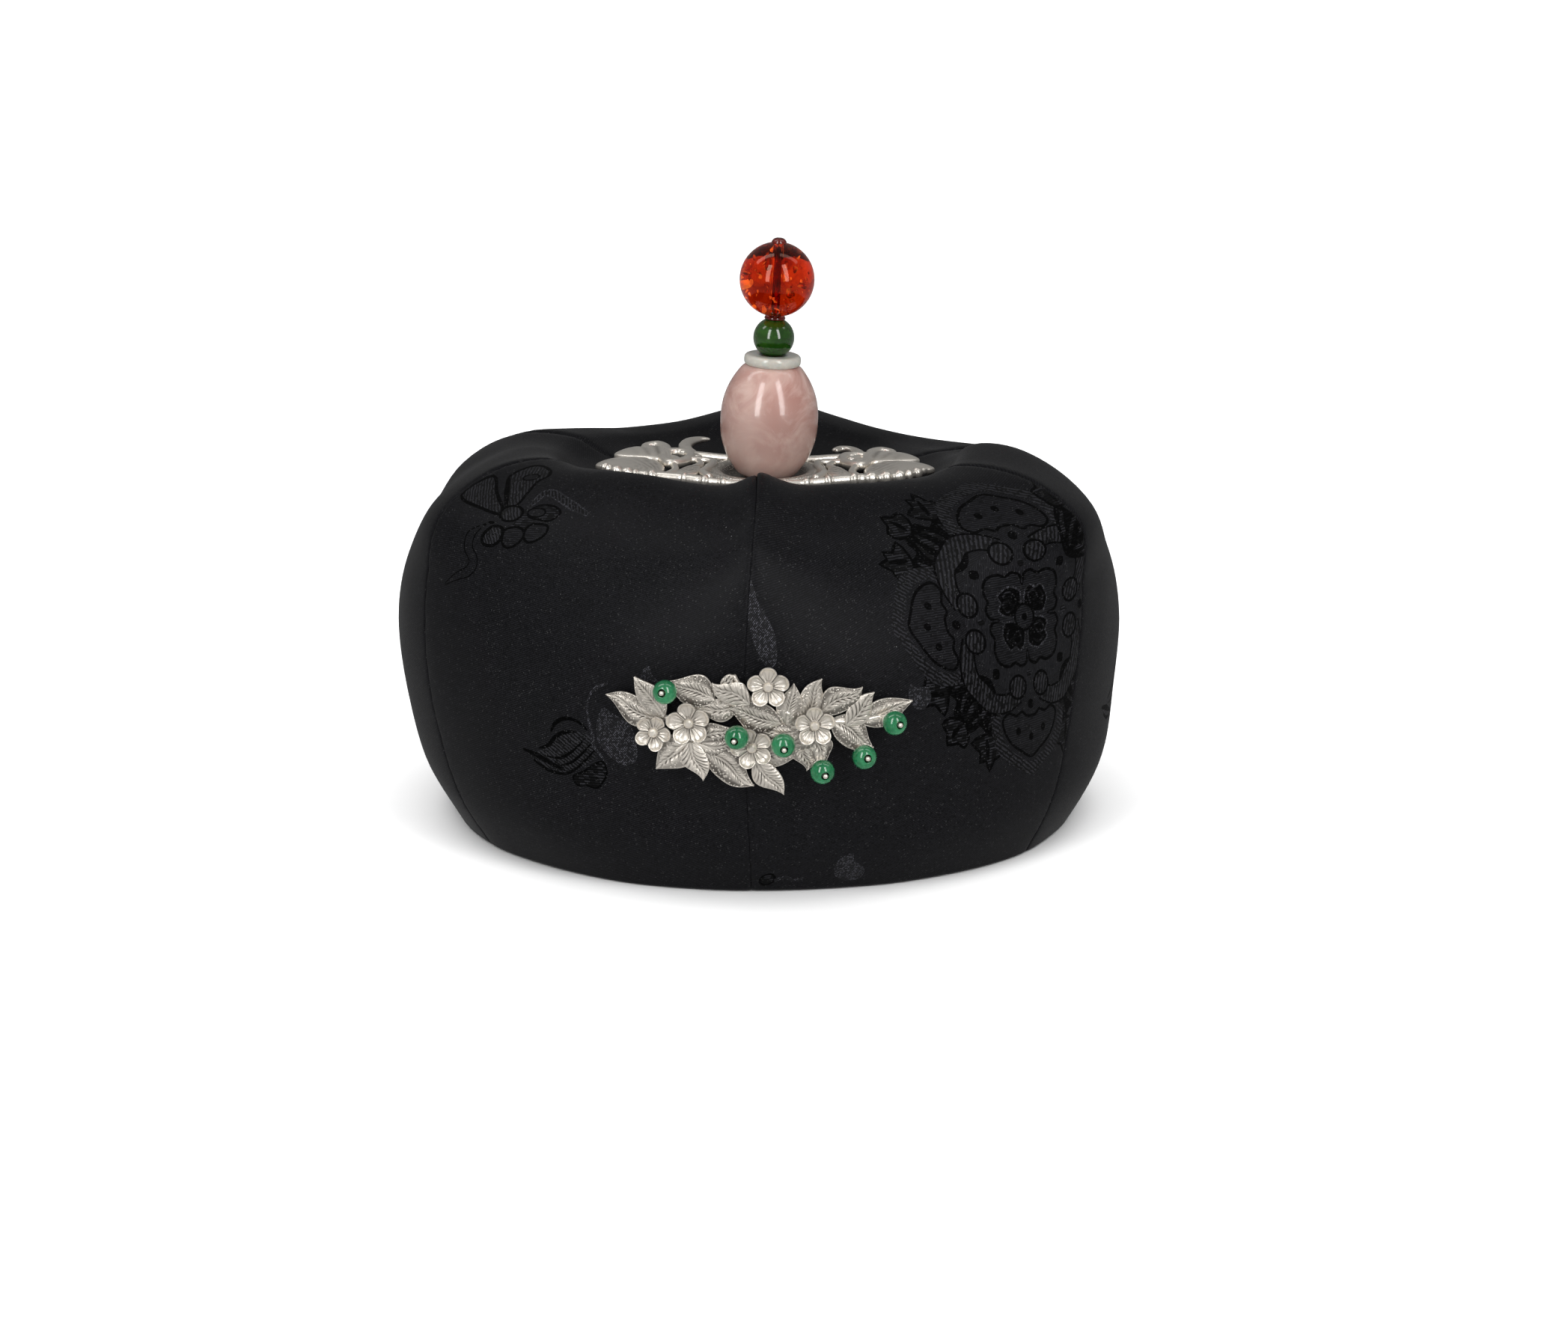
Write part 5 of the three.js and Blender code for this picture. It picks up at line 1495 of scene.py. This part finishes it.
def pad_shell(pad):
    """A swelling plate inside an outline, with ribs that fan out from the wing's root."""
    line = smooth_line(pad.outline, closed=True, steps=5)
    middle = line.mean(axis=0)
    count = len(line)
    rings, painted_shades = [], []
    for share in PAD_RINGS:
        spot = middle + share * (line - middle)
        turn = np.degrees(np.arctan2(spot[:, 1] - RIB_ROOT[1], spot[:, 0] - RIB_ROOT[0]))
        ribs = 0.5 + 0.5 * np.cos(2 * np.pi * turn / RIB_TURN)
        fade = np.clip((1 - share) * 3, 0, 1) * np.clip((30 - spot[:, 0]) / 6, 0, 1)
        height = pad.height + pad.dome * math.sqrt(1 - share**2) + pad.ribs * ribs * fade
        rings.append(np.column_stack([spot, height]))
        # Painted shade in the grooves between the ribs.
        painted_shades.append((1 - ribs) ** 2 * fade * 0.8)
    # The pad's edge and underside get an even painted shade.
    for share, height in [(1, 0.6 * pad.height), (0.98, 0.2), (0.5, 0.1), (0.03, 0.1)]:
        rings.append(np.column_stack([middle + share * (line - middle), np.full(count, height)]))
        painted_shades.append(np.full(count, 0.6))
    faces = grid_faces(len(rings), count, closed=True)
    faces += [tuple(range(count))[::-1], tuple((len(rings) - 1) * count + side for side in range(count))]
    points = np.concatenate(rings)
    if area_of(line) > 0:
        faces = [face[::-1] for face in faces]
    return points, faces, np.concatenate(painted_shades)


def build_plate():
    casting = Casting()

    def both(points, faces, hollow=None):
        casting.add(points, faces, hollow)
        casting.add(points * (-1, 1, 1), [face[::-1] for face in faces], hollow)

    for pad in PADS:
        both(*pad_shell(pad))
    for rod in RODS:
        both(*tube(rod.points, rod.radii, 16))
    for side, lumps in ((-1, LEFT_LUMPS), (1, RIGHT_LUMPS)):
        line = [(side * x, y, z) for x, y, z in RIM.points]
        casting.add(*tube(line, RIM.radii, 20, lumps=lumps))
    for hook in (LEFT_HOOK, RIGHT_HOOK):
        casting.add(*tube(hook.points, hook.radii, 16, squash=0.75))
    cup, cup_faces = turned(rounded(HOOP, 0.25), 96)
    # Painted shade: the cup is darker the deeper it lies below the hoop's top, and its grains are stronger
    # there.
    sunk = np.clip((HOOP_TOP - cup[:, 2]) / HOOP_TOP, 0, 1)
    casting.add(cup, cup_faces, hollow=sunk, chart=np.stack([0 * sunk, 0 * sunk, 0.3 + 0.6 * sunk], -1))
    piece = casting.build("plate_silver", plate_place)
    piece.data.materials.append(
        silver_material("plate_silver", (0.78, 0.735, 0.665, 1), (0.12, 0.105, 0.09, 1), 0.28, 0.03)
    )
    finish_piece(piece, "silver", "butterfly_plate")


# Camera, light and floor

def build_camera():
    camera = bpy.data.objects.new("camera", bpy.data.cameras.new("camera"))
    camera.location = Vector(CAMERA_PLACE) * MM
    camera.rotation_euler = (math.radians(90 - CAMERA_PITCH), 0, 0)
    camera.data.sensor_width = SENSOR_WIDTH
    camera.data.lens = FOCAL_PIXELS / PHOTO_WIDTH * SENSOR_WIDTH
    camera.data.clip_start = 0.01
    camera.data.clip_end = 100
    bpy.context.scene.collection.objects.link(camera)
    bpy.context.scene.camera = camera


Softbox = namedtuple("Softbox", "name place aim wide high power")
# Places and aims are in metres, and power is in watts.
SOFTBOXES = [
    Softbox("front_left", (-0.44, -0.78, 0.56), (0, 0, 0.06), 0.22, 0.95, 5.2),
    Softbox("front_right", (0.46, -0.76, 0.56), (0, 0, 0.06), 0.22, 0.95, 5),
    Softbox("ceiling_left", (-0.5, 0.02, 1.02), (0, 0, 0.06), 0.22, 0.85, 1.9),
    Softbox("ceiling_right", (0.5, 0.02, 1.02), (0, 0, 0.06), 0.22, 0.85, 1.1),
]
FLOOR_SIZE = 8
FLOOR_SUN = 3.4
FLOOR_SUN_ANGLE = 80
# The world's brightness for the camera and through the amber, as a table and as a room.
WORLD_SEEN = 1.0
WORLD_TABLE = 0.34
WORLD_ROOM = 0.2


def add_lamp(name, kind, place, turn):
    light = bpy.data.lights.new(name, kind)
    lamp = bpy.data.objects.new(name, light)
    lamp.location = place
    lamp.rotation_euler = turn
    bpy.context.scene.collection.objects.link(lamp)
    return lamp


def build_lights():
    for box in SOFTBOXES:
        out = Vector(box.place) - Vector(box.aim)
        lamp = add_lamp(box.name, "AREA", box.place, out.to_track_quat("Z", "Y").to_euler())
        lamp.data.shape = "RECTANGLE"
        lamp.data.size, lamp.data.size_y = box.wide, box.high
        lamp.data.energy = box.power


def build_floor():
    """A pale floor with a soft sun of its own, which keeps it white as far as it goes."""
    half = FLOOR_SIZE / 2 / MM
    corners = [(-half, -half, 0), (half, -half, 0), (half, half, 0), (-half, half, 0)]
    floor = mesh_object("floor", corners, [(0, 1, 2, 3)], smooth=False)
    material, nodes = new_material("floor", Roughness=0.9, Specular_IOR_Level=0.1)
    grain = nodes.noise(nodes.object_place(), 40, 3)
    nodes.set(Base_Color=nodes.blend(grain, grey(0.86), grey(0.9)))
    floor.data.materials.append(material)
    floor.visible_glossy = False
    lit = bpy.data.collections.new("floor_only")
    lit.objects.link(floor)
    sun = add_lamp("floor_sun", "SUN", (0, 0, 2), (0, 0, 0))
    sun.data.energy = FLOOR_SUN
    sun.data.angle = math.radians(FLOOR_SUN_ANGLE)
    sun.light_linking.receiver_collection = lit


def build_world():
    """White behind the object, and otherwise a dim room above a paler table."""
    world = bpy.data.worlds.new("studio")
    world.use_nodes = True
    bpy.context.scene.world = world
    tree = world.node_tree
    nodes = Nodes(tree, tree.nodes["Background"])
    path = tree.nodes.new("ShaderNodeLightPath")
    seen = nodes.math("MAXIMUM", path.outputs["Is Camera Ray"], path.outputs["Is Transmission Ray"])
    direction = nodes.add("ShaderNodeTexCoord", output=0)
    height = nodes.part(direction, 2)
    around = nodes.mapped(height, -0.3, 0.1, WORLD_TABLE, WORLD_ROOM)
    nodes.set(Strength=nodes.mapped(seen, 0, 1, around, WORLD_SEEN))
    nodes.shader.inputs["Color"].default_value = grey(1)
    bpy.context.scene.view_settings.view_transform = "Standard"


build_camera()
build_lights()
build_floor()
build_world()
build_cap()
build_stack()
build_spray()
build_plate()
